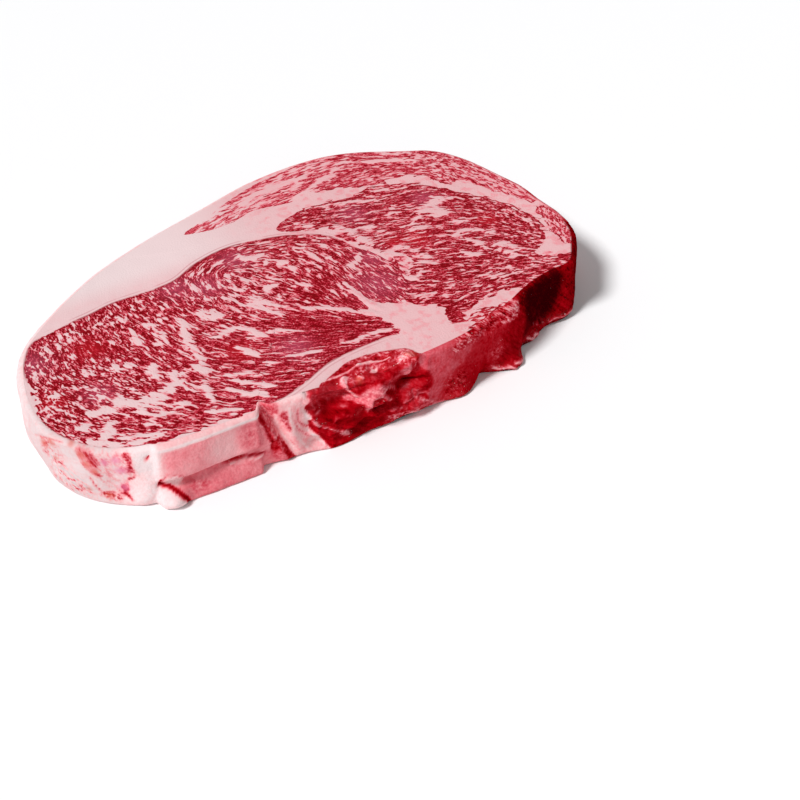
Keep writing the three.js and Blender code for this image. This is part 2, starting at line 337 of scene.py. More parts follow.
# Patches where the meat is a duller purple: place and reach
DULL_SPOTS = [
    (-95, 12, 9), (-34, 20, 9), (-25, 14, 9), (24, -22, 12), (32, -8, 8), (72, 12, 7), (-20, -34, 8),
    (-84, -15, 7), (-8, 22, 9), (44, 20, 8),
]

# Patches where the meat is a bright coral red: place and reach
BRIGHT_SPOTS = [
    (40, -60, 8), (50, -62, 7), (52, -8, 7), (45, -5, 5), (-75, 8, 8), (-36, -24, 7), (-98, -10, 6),
    (82, -14, 6),
]

# Gaps between the muscles that are mottled with meat: place and reach
MOTTLED_SPOTS = [(34, 8, 10), (39, -17, 7), (30, -40, 5), (90, 20, 9), (88, 38, 8), (84, -47, 5)]

# Patches of the side: redness, from 0 for cream fat over 0.45 for pink membrane to 1 for crimson
# meat, how mottled the patch is, how far it is raised, softness of its border, and its outline as
# places along the chine side and heights, where heights past 24 carry on over the upper cut face.
# Each patch is painted over those before it
SIDE_PATCHES = [
    # The fascia and the broad end's side, darker red towards the broad end: partly redder meat, partly
    # painted shade where the side turns from the light
    (0.62, 0.15, 0, 2.5, [(0, -2), (0, 27), (66, 27), (66, -2)]),
    (0.6, 0.2, 0, 2.5, [(8, 15), (9, 27), (22, 27), (19, 20), (15, 15)]),
    (0.74, 0.3, 0, 3.0, [(19, -2), (20, 9), (26, 13), (34, 14), (34, -2)]),
    (0.76, 0.2, 0, 5.0, [(27, -2), (27, 8), (33, 18), (42, 27), (66, 27), (66, -2)]),
    (0.82, 0.2, 0, 3.0, [(28, -2), (29, 8), (36, 11), (46, 12), (46, -2)]),
    (0.84, 0.2, 0, 4.0, [(45, -2), (46, 12), (52, 20), (60, 27), (92, 27), (92, -2)]),
    (0.69, 0.5, 0.2, 3.0, [(40, 14), (45, 14), (47, 9), (45, 6), (41, 8)]),
    (0.9, 0.25, 0, 2.0, [(80, 27), (80, 14), (76, 6), (74, -2), (120, -2), (120, 27)]),
    # The deep hollow under the broad end's rim, near black: partly dark meat, partly painted shade
    (
        1.0, 0.25, 0, 1.5,
        [
            (59, 23.4), (66, 24), (82, 23), (82, 17), (79, 8), (74, 4), (68, 4), (65, 9), (63, 14),
            (60, 18),
        ],
    ),
    (0.86, 0.5, 0.2, 1.2, [(66, 9), (69, 10), (74, 8), (73, 4.6), (68, 4)]),
    (0.64, 0.4, 0, 0.8, [(24, 20.4), (25, 23.8), (36, 24), (36, 21)]),
    (0.7, 0.5, 0.2, 0.8, [(33, 20.6), (33, 27), (57, 27), (56, 19), (48, 19.6), (40, 19)]),
    (0.6, 0.6, 0.2, 0.9, [(50, 23.6), (57, 23.6), (57.4, 20), (54.5, 18.5), (50.6, 19.5)]),
    # The broad end's side, darkest red: partly its meat, partly painted shade where it turns from the
    # light
    (0.96, 0.3, 0, 1.5, [(92, -2), (92, 27), (120, 27), (120, -2)]),
    (
        0.82, 0.25, 0, 0.5,
        [
            (-29.9, 23.7), (-31.7, 23.2), (-32.2, 21.6), (-32.6, 17.4), (-30.3, 14.7), (-31.5, 12.4),
            (-31.7, 10), (-30.3, 8.2), (-29.2, 7.4), (-28, 5), (-26.5, 2.4), (-24.9, 0), (-24, -3),
            (15, -3), (14.6, 2), (12, 6.6), (11.4, 9.6), (13.9, 10.5), (13.2, 12), (13.7, 13.9),
            (12.8, 16.2), (10.8, 18.5), (9.7, 20.8), (8.6, 23), (10, 24.4), (12, 28), (18, 42),
            (-40, 42), (-40, 28), (-32, 25),
        ],
    ),
    (0.7, 0.2, 0, 1.2, [(-31, 23.6), (-17.6, 23.6), (-15.4, 19), (-17, 17), (-31, 17.4)]),
    (0.84, 0.15, 0, 1.2, [(-29, 16.4), (-18, 16.6), (-12.4, 14), (-12, 8), (-20, 7), (-28, 9)]),
    # The left of the torn muscle's bowl, darkest: partly dark meat, partly painted shade
    (0.94, 0.1, 0, 1.2, [(-27, 14.5), (-21, 15.6), (-18, 13.4), (-20, 10.5), (-25, 11.6)]),
    (0.86, 0.2, 0, 2.0, [(-21, -2), (-22, 4), (-17, 7.6), (-5, 8), (-1, 4), (-1, -2)]),
    (0.9, 0.15, 0, 1.5, [(-3, 17.6), (4, 15.4), (12, 17.6), (12, 14.8), (2, 13.4), (-3, 13)]),
    (0.79, 0.2, 0, 1.0, [(2, 13.8), (8, 14.4), (13.6, 14.8), (13.8, 12.8), (8, 12.6), (2, 12.6)]),
    (0.68, 0.3, 0, 1.2, [(2, 9.2), (3.4, 12.4), (9, 12.6), (10.6, 9.6)]),
    (0.66, 0.7, 0.2, 1.0, [(-4.4, 2), (-3, 5.4), (1, 7), (3.6, 5), (2.6, 2)]),
    (
        0.7, 0.9, 0, 1.5,
        [(-27, 24), (-22, 29), (-14, 33), (-12, 36), (6, 36), (12, 31), (6, 29), (-8, 31), (-20, 28)],
    ),
    (
        0.62, 0.8, 0.2, 0.7,
        [
            (-16, 26.6), (-12, 28.4), (-8, 29.2), (-2, 28.8), (3, 28), (6, 29.4), (9, 30), (10, 27),
            (4, 25.6), (0, 26.6), (-4, 27.6), (-8, 27.4),
        ],
    ),
    # Lighter than its meat: painted light over the shade of its relief
    (
        0.67, 0.15, 0, 1.2,
        [
            (-10, 21), (-10, 25), (-4, 26), (2, 26), (4.2, 21), (4.2, 17), (2.4, 16), (-0.5, 16.6),
            (-3, 18.4), (-4, 21),
        ],
    ),
    (
        0.77, 0.35, 0, 0.8,
        [(-15, 21.4), (-15, 24.6), (-8, 25.6), (-4, 26.4), (2.4, 26), (3, 23), (-2, 22)],
    ),
    (0.56, 0.3, 0.3, 0.6, [(2.4, 23), (5, 23.8), (6.8, 22), (6, 19), (4.4, 18.4), (3.4, 20.6)]),
    (
        0.6, 1.0, 0.4, 0.6,
        [(3, 24.6), (4.6, 27), (8, 28.4), (9.9, 29), (9.8, 26.4), (8.8, 23.6), (8, 21), (7, 23.4)],
    ),
    (
        0.34, 0.5, 0.4, 0.5,
        [(-19, 24.4), (-18.6, 26.2), (-17, 27.2), (-15.6, 26.6), (-16.4, 25), (-17, 23.8), (-18, 23.4)],
    ),
    (0.62, 0.5, 0.4, 0.5, [(-16, 24.2), (-15.4, 26.4), (-13, 26.6), (-10.4, 25.6), (-11, 24.2)]),
    (0.24, 0.3, 0.2, 0.4, [(-7.4, 26.4), (-6.2, 27.5), (-4, 27.4), (-4.4, 26.4), (-5.6, 25.8)]),
    (
        0.52, 0.3, 1.0, 0.4,
        [
            (-14.4, 19.4), (-10.3, 20.7), (-6, 21.4), (-4.2, 20), (-3.4, 18.2), (-6.5, 17.4),
            (-9.5, 17), (-10.5, 14.3), (-11.5, 13.4), (-12.6, 15.5), (-15, 16.2), (-18.8, 17.4),
        ],
    ),
    (
        0.54, 0.3, 0.7, 0.5,
        [(-6.6, 17.6), (-5, 17.4), (-3, 15.2), (-1.2, 12), (-2.6, 11.6), (-4, 14), (-5.4, 16)],
    ),
    # The hole in the torn muscle, lowered and dark: partly dark meat, partly painted shade
    (
        0.82, 0.5, -0.3, 0.7,
        [
            (-10.2, 11.4), (-9.4, 15), (-8, 16.8), (-6.4, 16.4), (-4.8, 14.4), (-4, 12), (-5.6, 10.4),
            (-8, 10),
        ],
    ),
    (0.42, 0.3, 0.5, 0.4, [(-21.2, 4.6), (-20.4, 6.2), (-18.4, 5), (-17.6, 3), (-19.6, 3)]),
    (0.5, 0.3, 0.3, 0.4, [(-30.4, 13.6), (-29.2, 12.6), (-27.8, 9.8), (-29, 10), (-30.4, 12)]),
    (
        0.64, 0.25, 0.5, 0.6,
        [(3.4, 4.6), (4.6, 7.6), (8, 8.4), (10.6, 6.8), (14.8, 2.6), (10, 2.2), (5, 2.4)],
    ),
    (1.0, 0, -0.3, 0.5, [(-0.6, 1.6), (3, 2), (7, 1), (7, -2), (-1, -2)]),
    (0.18, 1.0, 0, 1.5, [(-124, 19), (-118, 22), (-114, 20), (-114, 12), (-119, 10), (-123, 14)]),
    (0.14, 0.9, 0, 1.5, [(-122, 10), (-114, 10), (-106, 8.4), (-101, 3), (-112, 3), (-122, 6)]),
    (
        0.28, 0.5, 0, 0.6,
        [
            (-100, 22.8), (-92, 22.8), (-90.3, 21.7), (-90.4, 13.1), (-93.3, 10.6), (-98.6, 14.6),
            (-100, 16.6),
        ],
    ),
    (
        0.4, 0.3, 0.2, 0.4,
        [
            (-107, 23.6), (-103, 23.9), (-100.6, 22), (-99.3, 19.6), (-100, 17.4), (-100.2, 15.4),
            (-98.8, 14), (-100, 13), (-103, 14.8), (-105.8, 17.4),
        ],
    ),
    (0.57, 0.4, 0, 0.6, [(-104.2, 22.6), (-101.6, 22.8), (-99.5, 20.4), (-99.4, 18.2), (-101.4, 18.2)]),
    (0.66, 0.6, 0, 0.4, [(-101.2, 15), (-99.8, 15), (-98.9, 13.9), (-100.4, 13.3)]),
    (
        0.63, 0.8, 0, 0.35,
        [
            (-92.4, 23.2), (-90.6, 23.2), (-90.3, 18), (-89.6, 14), (-90.2, 12.6), (-91.8, 12.2),
            (-92.2, 14), (-91.7, 16), (-91.7, 20),
        ],
    ),
    (0.74, 0.6, 0, 0.4, [(-93.8, 10), (-92.2, 10.8), (-91.9, 8), (-93, 6.6), (-93.8, 7.6)]),
    (0.72, 0.7, 0, 0.4, [(-94.2, 6.6), (-93, 7), (-91.4, 4.4), (-91.4, 2.6), (-92.8, 5)]),
    (0.4, 1.2, 0, 0.8, [(-100.4, 5.6), (-97, 6.6), (-94.4, 6), (-94.4, 3), (-99, 2.8)]),
    (
        0.31, 0.3, 0, 1.0,
        [(-45, 22.4), (-31, 22.4), (-33, 18), (-32, 9), (-25, -2), (-42, -2), (-45, 9)],
    ),
    (0.45, 0.14, 0, 3.0, [(-80, 26), (-80, 8), (-62, 6), (-44, 4), (-44, 26)]),
    (0.4, 0.12, 0, 2.0, [(-80, 15), (-80, 11), (-66, 10), (-54, 9), (-54, 13)]),
    (0.25, 0.15, 0, 0.6, [(-86, 22.4), (-86, 28), (-47, 28), (-47, 22.4), (-66, 22.2)]),
    (0.0, 0.15, 0, 1.0, [(-88.4, 14), (-88.4, 28), (-84, 28), (-84, 14)]),
    (0.3, 0.1, 0, 3.0, [(-66, 20.6), (-66, 12), (-58, 12), (-58, 20.6)]),
    (0.52, 0.25, 0, 3.0, [(-55, 20), (-49, 20), (-49, 12.6), (-54, 12.6)]),
    (0.5, 0.12, 0, 0.6, [(-79.6, 9), (-75, -2), (-38, -2), (-44, 7), (-62, 8.8), (-73, 9.6)]),
    (0.57, 0.35, 0, 1.4, [(-74.6, 5), (-72, 6.4), (-69, 5.6), (-69, 3.4), (-73.6, 3)]),
    (0.48, 0.15, 0, 1.5, [(-60, 7), (-56, 2), (-46, 1), (-48, 5)]),
    (
        0.24, 0.3, 0, 0.5,
        [(-82.2, 9.4), (-81.4, 12.4), (-79, 12.2), (-76, 10.4), (-75.6, 8), (-78.6, 6.8)],
    ),
    (0.1, 0.2, 0.4, 0.4, [(-83.4, 8), (-82.2, 8.6), (-78.4, 5.6), (-76, 0), (-76, -2), (-83.4, -2)]),
    (
        0.56, 0.4, 0, 0.7,
        [(-48.6, 22.6), (-42, 23.8), (-41.8, 22), (-42.8, 18), (-42.8, 13), (-44, 10.2), (-46.2, 13)],
    ),
    (
        0.7, 0.4, 0, 0.5,
        [(-49, 22), (-47.4, 21.8), (-45.8, 16), (-44.7, 10.2), (-45.6, 10.4), (-47.2, 16.5)],
    ),
    (0.56, 0.4, 0, 0.8, [(-45.4, 7.4), (-43, 7.2), (-41, 4), (-39, 0), (-42.4, 0), (-44.6, 4)]),
    (
        0.76, 0.6, -0.4, 0.5,
        [
            (-45.6, 9.6), (-44, 10.8), (-42.2, 10.8), (-40.2, 7), (-39, 4), (-36.6, -0.4),
            (-38.6, -0.8), (-41, 4), (-42.6, 6.4), (-45.4, 7.2),
        ],
    ),
    (
        0.62, 0.6, 0, 0.5,
        [
            (-41.3, 20.6), (-39.2, 20.4), (-38.7, 17), (-38.2, 13.2), (-38.8, 12.4), (-40, 14),
            (-40.9, 17),
        ],
    ),
]

# Lines painted over the patches: redness, how far raised, half width, and places along and heights
SIDE_LINES = [
    # The pale line at the top of the rib block: partly fat at the rim, partly a painted highlight
    (0.0, 0.15, 0.35, [(-83.6, 22.3), (-70, 22.4), (-49, 22.4)]),
    (0.8, -0.5, 0.4, [(-62.3, 9.2), (-59, 8.6), (-56.6, 8.6), (-54, 8), (-51, 7.4), (-48, 6.8)]),
    (0.24, 0.3, 0.25, [(-60, 7.8), (-57.6, 7.4), (-54.4, 7.6), (-51.8, 6.6), (-48.6, 6.2)]),
    (0.6, -0.2, 0.18, [(-82.6, 11.4), (-81.4, 12.8), (-79.4, 12.5), (-77, 11.4), (-75.8, 9)]),
    # The ledge's shadow line: a shallow groove with painted shadow
    (0.5, -0.2, 0.2, [(-75, 9.2), (-72, 9.6), (-68, 9), (-62, 9.2)]),
    (0.95, -0.4, 0.4, [(-83.2, 11.2), (-83.5, 8.8)]),
    (0.56, -0.2, 0.25, [(-47.8, 6.8), (-45.8, 6.4), (-44.2, 3.6), (-41, 0.6)]),
    (0.92, -0.6, 0.5, [(-83.6, 8.6), (-80.6, 7.4), (-78.2, 5), (-76.4, 2.4), (-75.8, 0)]),
    (0.82, -0.7, 0.22, [(-48.4, 21.6), (-46.8, 17), (-45.4, 12.6), (-44.9, 10.4)]),
    (0.42, 0, 0.2, [(-42.2, 20), (-41.6, 15), (-39.6, 9.6), (-36, 3)]),
    (0.2, 0.1, 0.25, [(-42.8, 20), (-42, 15), (-40, 9), (-36.8, 4)]),
    (0.18, 0.1, 0.25, [(-38.2, 21.5), (-38.2, 15), (-36.4, 9), (-32.4, 2)]),
    (0.58, -0.1, 0.3, [(-35.4, 19.4), (-35.4, 15), (-33.6, 12), (-32, 10.6)]),
    (0.54, -0.1, 0.25, [(-36.8, 16), (-35.8, 12), (-33.6, 9), (-30.6, 6)]),
    (0.6, -0.2, 0.3, [(-103.2, 12), (-102.6, 9.6), (-100.8, 6.4)]),
    (0.46, -0.1, 0.25, [(-100.2, 12.8), (-98.6, 10.4), (-97.2, 8.2)]),
    (0.34, -0.1, 0.3, [(-97.6, 12), (-95.4, 9.4), (-93.6, 7.6)]),
    (0.46, -0.2, 0.25, [(-104.8, 16.6), (-102.6, 14.6), (-100.8, 13.4)]),
    (0.36, 0, 0.3, [(-109, 5), (-107, 6), (-105, 4.6), (-101, 4)]),
    (0.34, 0, 0.25, [(-118, 12.6), (-114, 13.4), (-111, 12.6)]),
    (0.32, 0, 0.25, [(-114, 9.6), (-111, 8.4), (-108, 9.4), (-106.6, 8.2)]),
    (0.36, 0, 0.25, [(-112, 5.4), (-109, 6), (-107.6, 7)]),
    # The fold in the skin of the narrow end: a shallow crease with a painted shadow
    (0.38, -0.3, 0.3, [(-127, 17.6), (-122, 20.4), (-117, 22.4), (-112, 23.3)]),
    # Two short white raised lines on the narrow end: painted glints
    (0.0, 0.3, 0.25, [(-119.6, 17.6), (-119, 16)]),
    (0.0, 0.3, 0.25, [(-116.8, 15), (-115.6, 14)]),
    (0.55, 0, 0.2, [(-95.6, 9), (-94.4, 6.6), (-93.6, 5)]),
    (0.6, 0, 0.25, [(-100, 5.6), (-98, 4.8), (-96, 4.2), (-94.6, 3.4)]),
    (0.95, -0.4, 0.25, [(-85.6, 20.9), (-86, 20)]),
    (0.5, -0.2, 0.25, [(-86.6, 20.6), (-86.6, 19.4)]),
    (
        0.45, 0.7, 0.3,
        [
            (-30.3, 13.2), (-28.8, 10.5), (-28, 10), (-24.5, 8.7), (-21.8, 6.6), (-20.7, 6.2),
            (-19.5, 4.3), (-17.6, 3.2),
        ],
    ),
    (0.5, 0.2, 0.18, [(-30.7, 14.3), (-25.6, 15), (-21, 15.2), (-17.6, 15.7)]),
    (0.3, 0.3, 0.22, [(-25.3, 26.2), (-20, 27.2), (-16.5, 28.2), (-13, 28.9), (-9.5, 29.9)]),
    (0.22, 0.35, 0.32, [(-10.5, 29.7), (-5, 30.1), (-1, 29.3), (2, 28.5)]),
    (0.36, 0.5, 0.35, [(-17.6, 24), (-17, 22), (-15.6, 20), (-14.4, 18.4)]),
    (0.34, 0.3, 0.35, [(-12, 26), (-11, 24.6)]),
    (0.5, 0.5, 0.35, [(-3.4, 18.2), (-1, 16.6), (0.8, 15.1)]),
    (0.5, 0.5, 0.4, [(-12.2, 15), (-11.4, 12.8), (-11, 11.2)]),
    (0.5, 0.3, 0.18, [(2, 14.2), (5, 14), (9, 14.5)]),
    (0.5, 0.4, 0.22, [(-3, 8.5), (0, 8.2), (2.8, 7)]),
    (0.56, 0.3, 0.28, [(2.4, 9.3), (8, 9), (12, 9.7)]),
    (0.44, 0.3, 0.24, [(7.4, 8.5), (11, 6.4), (14.7, 2.8)]),
    (0.45, 0.3, 0.25, [(2.4, 6), (3.4, 5.6), (4, 4.4)]),
    (0.62, 0.2, 0.3, [(-30.6, 21.8), (-30, 19), (-29, 16.4)]),
    (0.64, 0.2, 0.25, [(-28.4, 20.6), (-27.4, 17.6), (-26.6, 16)]),
    (0.66, 0.2, 0.3, [(-25.6, 22.4), (-24.2, 18.6), (-23.4, 16.8)]),
    (0.66, 0.4, 0.25, [(-23.6, 11), (-22.6, 13.2), (-20, 13.8), (-17.6, 12.6)]),
    (0.3, 0.5, 0.3, [(3.2, 2.4), (5, 2.2), (8, 1.4), (11.6, 0.1)]),
    (0.4, 0.3, 0.25, [(6, 2.4), (11, 2.2), (14, 1.2), (19, 1)]),
    (0.62, 0.3, 0.3, [(42, 4), (46, 2.2), (50, 0.4)]),
    (0.4, 0.5, 0.4, [(43, 2.6), (45, 1.8), (48, 2), (49.6, 0.6)]),
    (0.36, 0.5, 0.4, [(50, 2.6), (53, 1.6), (56, 0.8)]),
    (0.34, 0.5, 0.45, [(63.4, 3), (66, 1.4), (68, 2.4), (70.4, 1)]),
    (0.45, 0.4, 0.35, [(77, 2.4), (80, 3.2), (84, 2.2), (88, 3.4)]),
]

# Torn places, whose fibres show: direction in degrees, length and strength, softness and outline
TORN_PLACES = [
    (
        -25, 1.7, 0.16, 0.8,
        [
            (-30, 23.8), (-32.4, 20), (-32.6, 17), (-30.6, 14.5), (-31.5, 11), (-24.9, -1), (15, -1),
            (12, 8), (13.6, 12), (11, 18), (9, 23), (14, 28), (18, 42), (-40, 42), (-40, 28),
        ],
    ),
    (-50, 2.4, 0.25, 4.0, [(38, -2), (40, 12), (48, 20), (60, 26), (90, 26), (92, -2)]),
    (
        -42, 1.1, 0.6, 0.8,
        [(23, 20), (25, 23.6), (57, 23.8), (57.5, 19.5), (53, 18.5), (44, 20.6), (32, 20.4)],
    ),
    (-60, 1.4, 0.8, 0.8, [(66, 9), (69, 10), (74, 8), (73, 4), (68, 4)]),
    (-50, 1.0, 0.4, 1.5, [(20, 8), (26, 11), (29, 9), (28, 4), (20, 3)]),
    (-50, 1.4, 0.22, 1.0, [(-48.6, 24), (-46, 24), (-43, 10), (-46, 10)]),
    (-30, 1.2, 0.8, 1.5, [(-119, 4), (-119, 15), (-113, 14), (-105, 9), (-104, 4)]),
    (
        -60, 2.0, 0.36, 0.8,
        [(-106.8, 23.3), (-90, 23), (-90, 13), (-93, 10), (-99, 13.6), (-104.5, 16.8)],
    ),
]

# The side before its patches, and the borders of its lines
BARE_SIDE = {"red": 0.1, "paler_end": 0.05, "mottle": 0.3}
LINE_BORDER = (-0.45, 0.35)

# Where the painted chine side gives way to the far side, on Y and round the narrow end, and how far
# that border wanders
CHINE_BORDER = {"y": (-44, -22), "wander": 16}
END_BORDER = {"x": (-92, -97), "y": (-12, 12), "wander": 9}

# The far side: redness and mottle of its fat, how much of both the broad end adds, how red its patches
# are there, and the redness of its upper rim
FAR_SIDE = {
    "red": 0.14, "mottle": 0.35, "broad_red": 0.2, "broad_mottle": 0.1, "patches": 0.32, "rim_red": 0.12,
}

# The torn muscle on the side: its ends along the chine side, their softness, and the heights between
# which its relief turns from outwards to upwards
TORN_SIDE = {"from": -32.5, "to": 13, "edge": 1.5, "turns": (19, 29)}

# Random unevenness of the skin: height, size of the bumps, and number of the random pattern
UNEVENNESS = {
    "swells": (0.2, 4.5, 1), "bumps": (0.09, 1.8, 2), "crags": (1.3, 4.2, 4), "grit": (0.4, 1.5, 5),
    "cut face": (0.1, 7, 6),
}
CRAG_STRETCH = (0.8, 0.8, 1.2)

# Ridges of the torn muscle: height of the crests, depth between them, size, number of the random
# pattern, how far they are drawn out along the side, and their share
TORN_RIDGES = {
    "crest": 0.6, "depth": 2.2, "size": 3.6, "pattern": 7, "stretch": (0.45, 0.45, 1), "share": 0.7,
}

# How far the fat swells out of the cut face
FAT_SWELL = 0.12

# Hollows and lumps of the torn muscle that the solid leaves out: place, height, half sizes, amount
TORN_RELIEF = [
    (-24.5, 21, 8, 4, -2.2), (-12, 22.6, 7, 2.6, -1.4), (-1, 21, 5, 4, -0.6), (-26, 14, 5, 4, -1.0),
    (-6.8, 11.6, 3.6, 2.6, -1.4), (6, 14.6, 6, 2, -1.6), (-16, 5, 8, 3, -1.0), (-19, 11, 5, 3.6, 1.4),
    (-10, 18.6, 7, 2, 0.7), (7, 6, 5, 3, 0.7), (1, 19.6, 3, 3, 0.8), (-14, 31, 12, 2.6, 0.5),
]

# Hollows of the side, with painted shade: its strength, and place along, height, and half sizes of each
HOLLOW_SHADE_STRENGTH = 0.85
SIDE_HOLLOWS = [
    (-7, 10.8, 3.8, 1.3), (-12, 7, 6, 1), (6, 15.4, 5, 0.8),
    (3.4, 0.6, 3.4, 1.2), (60, 1, 8, 1.6), (47, 0.6, 3, 1), (85, 1, 6, 1.6),
]

# The deep hollow under the broad end's rim, with painted shade: its strength, softness of its border,
# and outline
DEEP_HOLLOW_SHADE = (
    0.66, 2.6,
    [(63, 22.8), (67, 23.4), (81, 22.8), (83, 17), (81, 9), (76, 4.5), (69, 5), (61, 4), (62, 12)],
)

# Wet places that sparkle with a clear coat and get pale flecks, partly fat and partly painted glints:
# strength, half width, and line of places along and heights
WET_LINES = [
    (0.45, 0.8, [(20, 23), (34, 23.4), (52, 23)]),
    (0.7, 0.8, [(-62, 9.4), (-50, 7.4)]),
    (0.5, 1.5, [(-20, 26), (-8, 27), (6, 25)]),
    (0.6, 1.6, [(44, 2), (56, 2), (68, 2)]),
    (0.5, 1.0, [(-30, 14), (-20, 5), (-16, 2)]),
    (0.6, 1.2, [(-2, 2), (14, 1.4), (28, 2)]),
    (0.5, 1.5, [(74, 3), (86, 3)]),
    (0.4, 2.0, [(20, 8), (28, 5)]),
    (0.35, 1.2, [(-84, 21), (-50, 21)]),
    (0.5, 2.0, [(-104, 7), (-92, 4)]),
    (0.4, 2.0, [(-14, 12), (-4, 20)]),
]

# How much painted shade darkens the narrow end
END_PAINTED_SHADE = 0.29

# Magenta and coral spots of the side: place along, height, and reach
MAGENTA_SPOTS = [(-94.2, 21, 1.8), (-93.2, 16.8, 2.2), (-93, 9, 2), (-97.5, 20, 1.8)]
CORAL_SPOTS = [
    (-105.4, 21, 2.4), (-103.6, 18, 2.2), (-101, 15.6, 1.8), (-121, 18.4, 2.6), (-117, 21, 2.4),
    (-116.4, 14.6, 1.4), (-104.7, 6.2, 1.5), (-98, 4.6, 2), (-109, 24, 1.8), (8, 26.4, 2.2),
    (-12.4, 24.8, 1.4),
]

# Colours, as a screen shows them. The first two go from lean to fat, and from cream fat to dark meat
CUT_COLOURS = [
    (0.0, (122, 0, 8)), (0.2, (154, 4, 25)), (0.36, (187, 44, 62)), (0.52, (209, 87, 101)),
    (0.7, (230, 138, 147)), (0.86, (226, 170, 174)), (1.0, (225, 177, 180)),
]
SIDE_COLOURS = [
    (0.0, (233, 213, 214)), (0.2, (238, 194, 195)), (0.42, (235, 145, 151)), (0.56, (209, 88, 100)),
    (0.68, (184, 36, 48)), (0.8, (164, 5, 18)), (0.92, (132, 0, 6)), (1.0, (84, 0, 4)),
]
CREAM_FAT = (230, 208, 209)
SEAM_EDGE = (150, 34, 48)
SEAM_SKIN = (188, 96, 106)
# Colour of the painted shade in the side's hollows and over the narrow end
PAINTED_SHADE_COLOUR = (34, 0, 3)
# Pale flecks of the wet places: partly fat, partly painted glints
PALE_FLECK_AND_GLINT = (240, 190, 194)
PALE_FLOOR = (246, 246, 247)

# Tints of the meat and of the side: how strong they are, and their colours
MEAT_TINTS = {"dull": (0.48, (184, 80, 106)), "bright": (0.45, (200, 28, 40))}
SIDE_TINTS = {"Magenta": (0.75, (222, 120, 156)), "Coral": (0.72, (222, 100, 84))}

# The clear coat of wet places
WET_COAT = {"weight": 0.4, "roughness": 0.14}

# Streaks of the marbling and of torn fibres: their width, and how far they are drawn out
STREAKS = {
    "coarse": (2.4, 0.9), "medium": (1.2, 0.7), "fine": (0.55, 0.4), "hair": (0.36, 0.35),
    "long fibres": (1.3, 1.0), "short fibres": (0.5, 0.5),
}

# Samples taken to each side along a streak
STREAK_SAMPLES = 5

# How strongly each kind of streak decides between fat and lean
MARBLING = {"coarse": 4.5, "medium": 10.0, "fine": 6.0}

# Values that the flesh group takes, and the name that the mesh stores each under
FLESH_PLACES = {"Skin place": "skin_place", "Fibre": "fibre"}
FLESH_VALUES = {
    "Redness": "red", "Mottle": "mottle", "Tearing": "tearing", "Painted shade": "painted_shade", "Wetness": "wet",
    "Magenta": "magenta", "Coral": "coral",
}

# The camera: degrees round and up, distance in metres, lens, and the place on the cut face it aims at
VIEW = {"round": -38, "up": 40, "distance": 0.483, "lens": 67.5, "sensor": 36, "aim": (-9.4, -77.5)}

# The lights: white surroundings, a broad sun, and a soft square lamp with its places in metres
SURROUNDINGS = 0.3
SUN = {"power": 3.25, "breadth": 14, "towards": (0.67, 0.04, -0.74)}
FILL = {"place": (-0.3, -0.9, 0.5), "aim": (0, 0, 0.01), "size": 0.8, "power": 1.0}
FLOOR_SIZE = 8


def smoothstep(low, high, value):
    """Goes smoothly from 0 at low to 1 at high, which may be the smaller of the two."""
    t = np.clip((value - low) / (high - low), 0, 1)
    return t * t * (3 - 2 * t)


def between(low, high, edge, value):
    """1 between low and high and 0 elsewhere, with soft edges."""
    rise = smoothstep(low - edge, low + edge, value)
    return rise * (1 - smoothstep(high - edge, high + edge, value))


def bell(distance):
    """1 at no distance, and about 0.14 at a distance of 1."""
    return np.exp(-2 * distance**2)


def closed_line(points):
    """A smooth closed line through the points, as a centripetal Catmull-Rom curve in short steps,
    and how far along it each step is."""
    points = np.array(points, float)
    pieces = []
    for i in range(len(points)):
        p0, p1, p2, p3 = (points[(i + k) % len(points)] for k in (-1, 0, 1, 2))
        t0, t1, t2 = (math.sqrt(np.linalg.norm(b - a)) for a, b in ((p0, p1), (p1, p2), (p2, p3)))
        m1 = ((p1 - p0) / t0 - (p2 - p0) / (t0 + t1) + (p2 - p1) / t1) * t1
        m2 = ((p2 - p1) / t1 - (p3 - p1) / (t1 + t2) + (p3 - p2) / t2) * t1
        t = np.linspace(0, 1, LINE_STEPS, endpoint=False)[:, None]
        pieces.append(
            p1 + m1 * t + (3 * (p2 - p1) - 2 * m1 - m2) * t**2 + (2 * (p1 - p2) + m1 + m2) * t**3
        )
    line = np.vstack(pieces + [pieces[0][:1]])
    along = np.r_[0, np.cumsum(np.linalg.norm(np.diff(line, axis=0), axis=1))]
    return line, along


def places_along(line, along, wanted):
    """The places at these distances along a closed line."""
    wanted = np.asarray(wanted) % along[-1]
    return np.c_[np.interp(wanted, along, line[:, 0]), np.interp(wanted, along, line[:, 1])]


def closed_curve(points, steps):
    """Evenly spaced places on the smooth closed line through the points."""
    line, along = closed_line(points)
    return places_along(line, along, np.linspace(0, along[-1], steps, endpoint=False))


def distance_to_line(points, x, y, closed=False):
    """How far each place is from a line of straight pieces."""
    line = np.array(points, float)
    if closed:
        line = np.vstack([line, line[:1]])
    nearest = np.full(x.shape, 1e9)
    for (ax, ay), (bx, by) in zip(line, line[1:]):
        dx, dy = bx - ax, by - ay
        t = np.clip(((x - ax) * dx + (y - ay) * dy) / max(dx * dx + dy * dy, 1e-9), 0, 1)
        nearest = np.minimum(nearest, np.hypot(x - ax - t * dx, y - ay - t * dy))
    return nearest


def depth_inside(outline, x, y):
    """How far each place is inside a closed outline; outside it, the distance is negative."""
    odd = np.zeros(x.shape, bool)
    for (ax, ay), (bx, by) in zip(outline, np.roll(outline, -1, axis=0)):
        crosses = (ay > y) != (by > y)
        if ay != by:
            odd ^= crosses & (x < ax + (y - ay) * (bx - ax) / (by - ay))
    return np.where(odd, 1, -1) * distance_to_line(outline, x, y, closed=True)


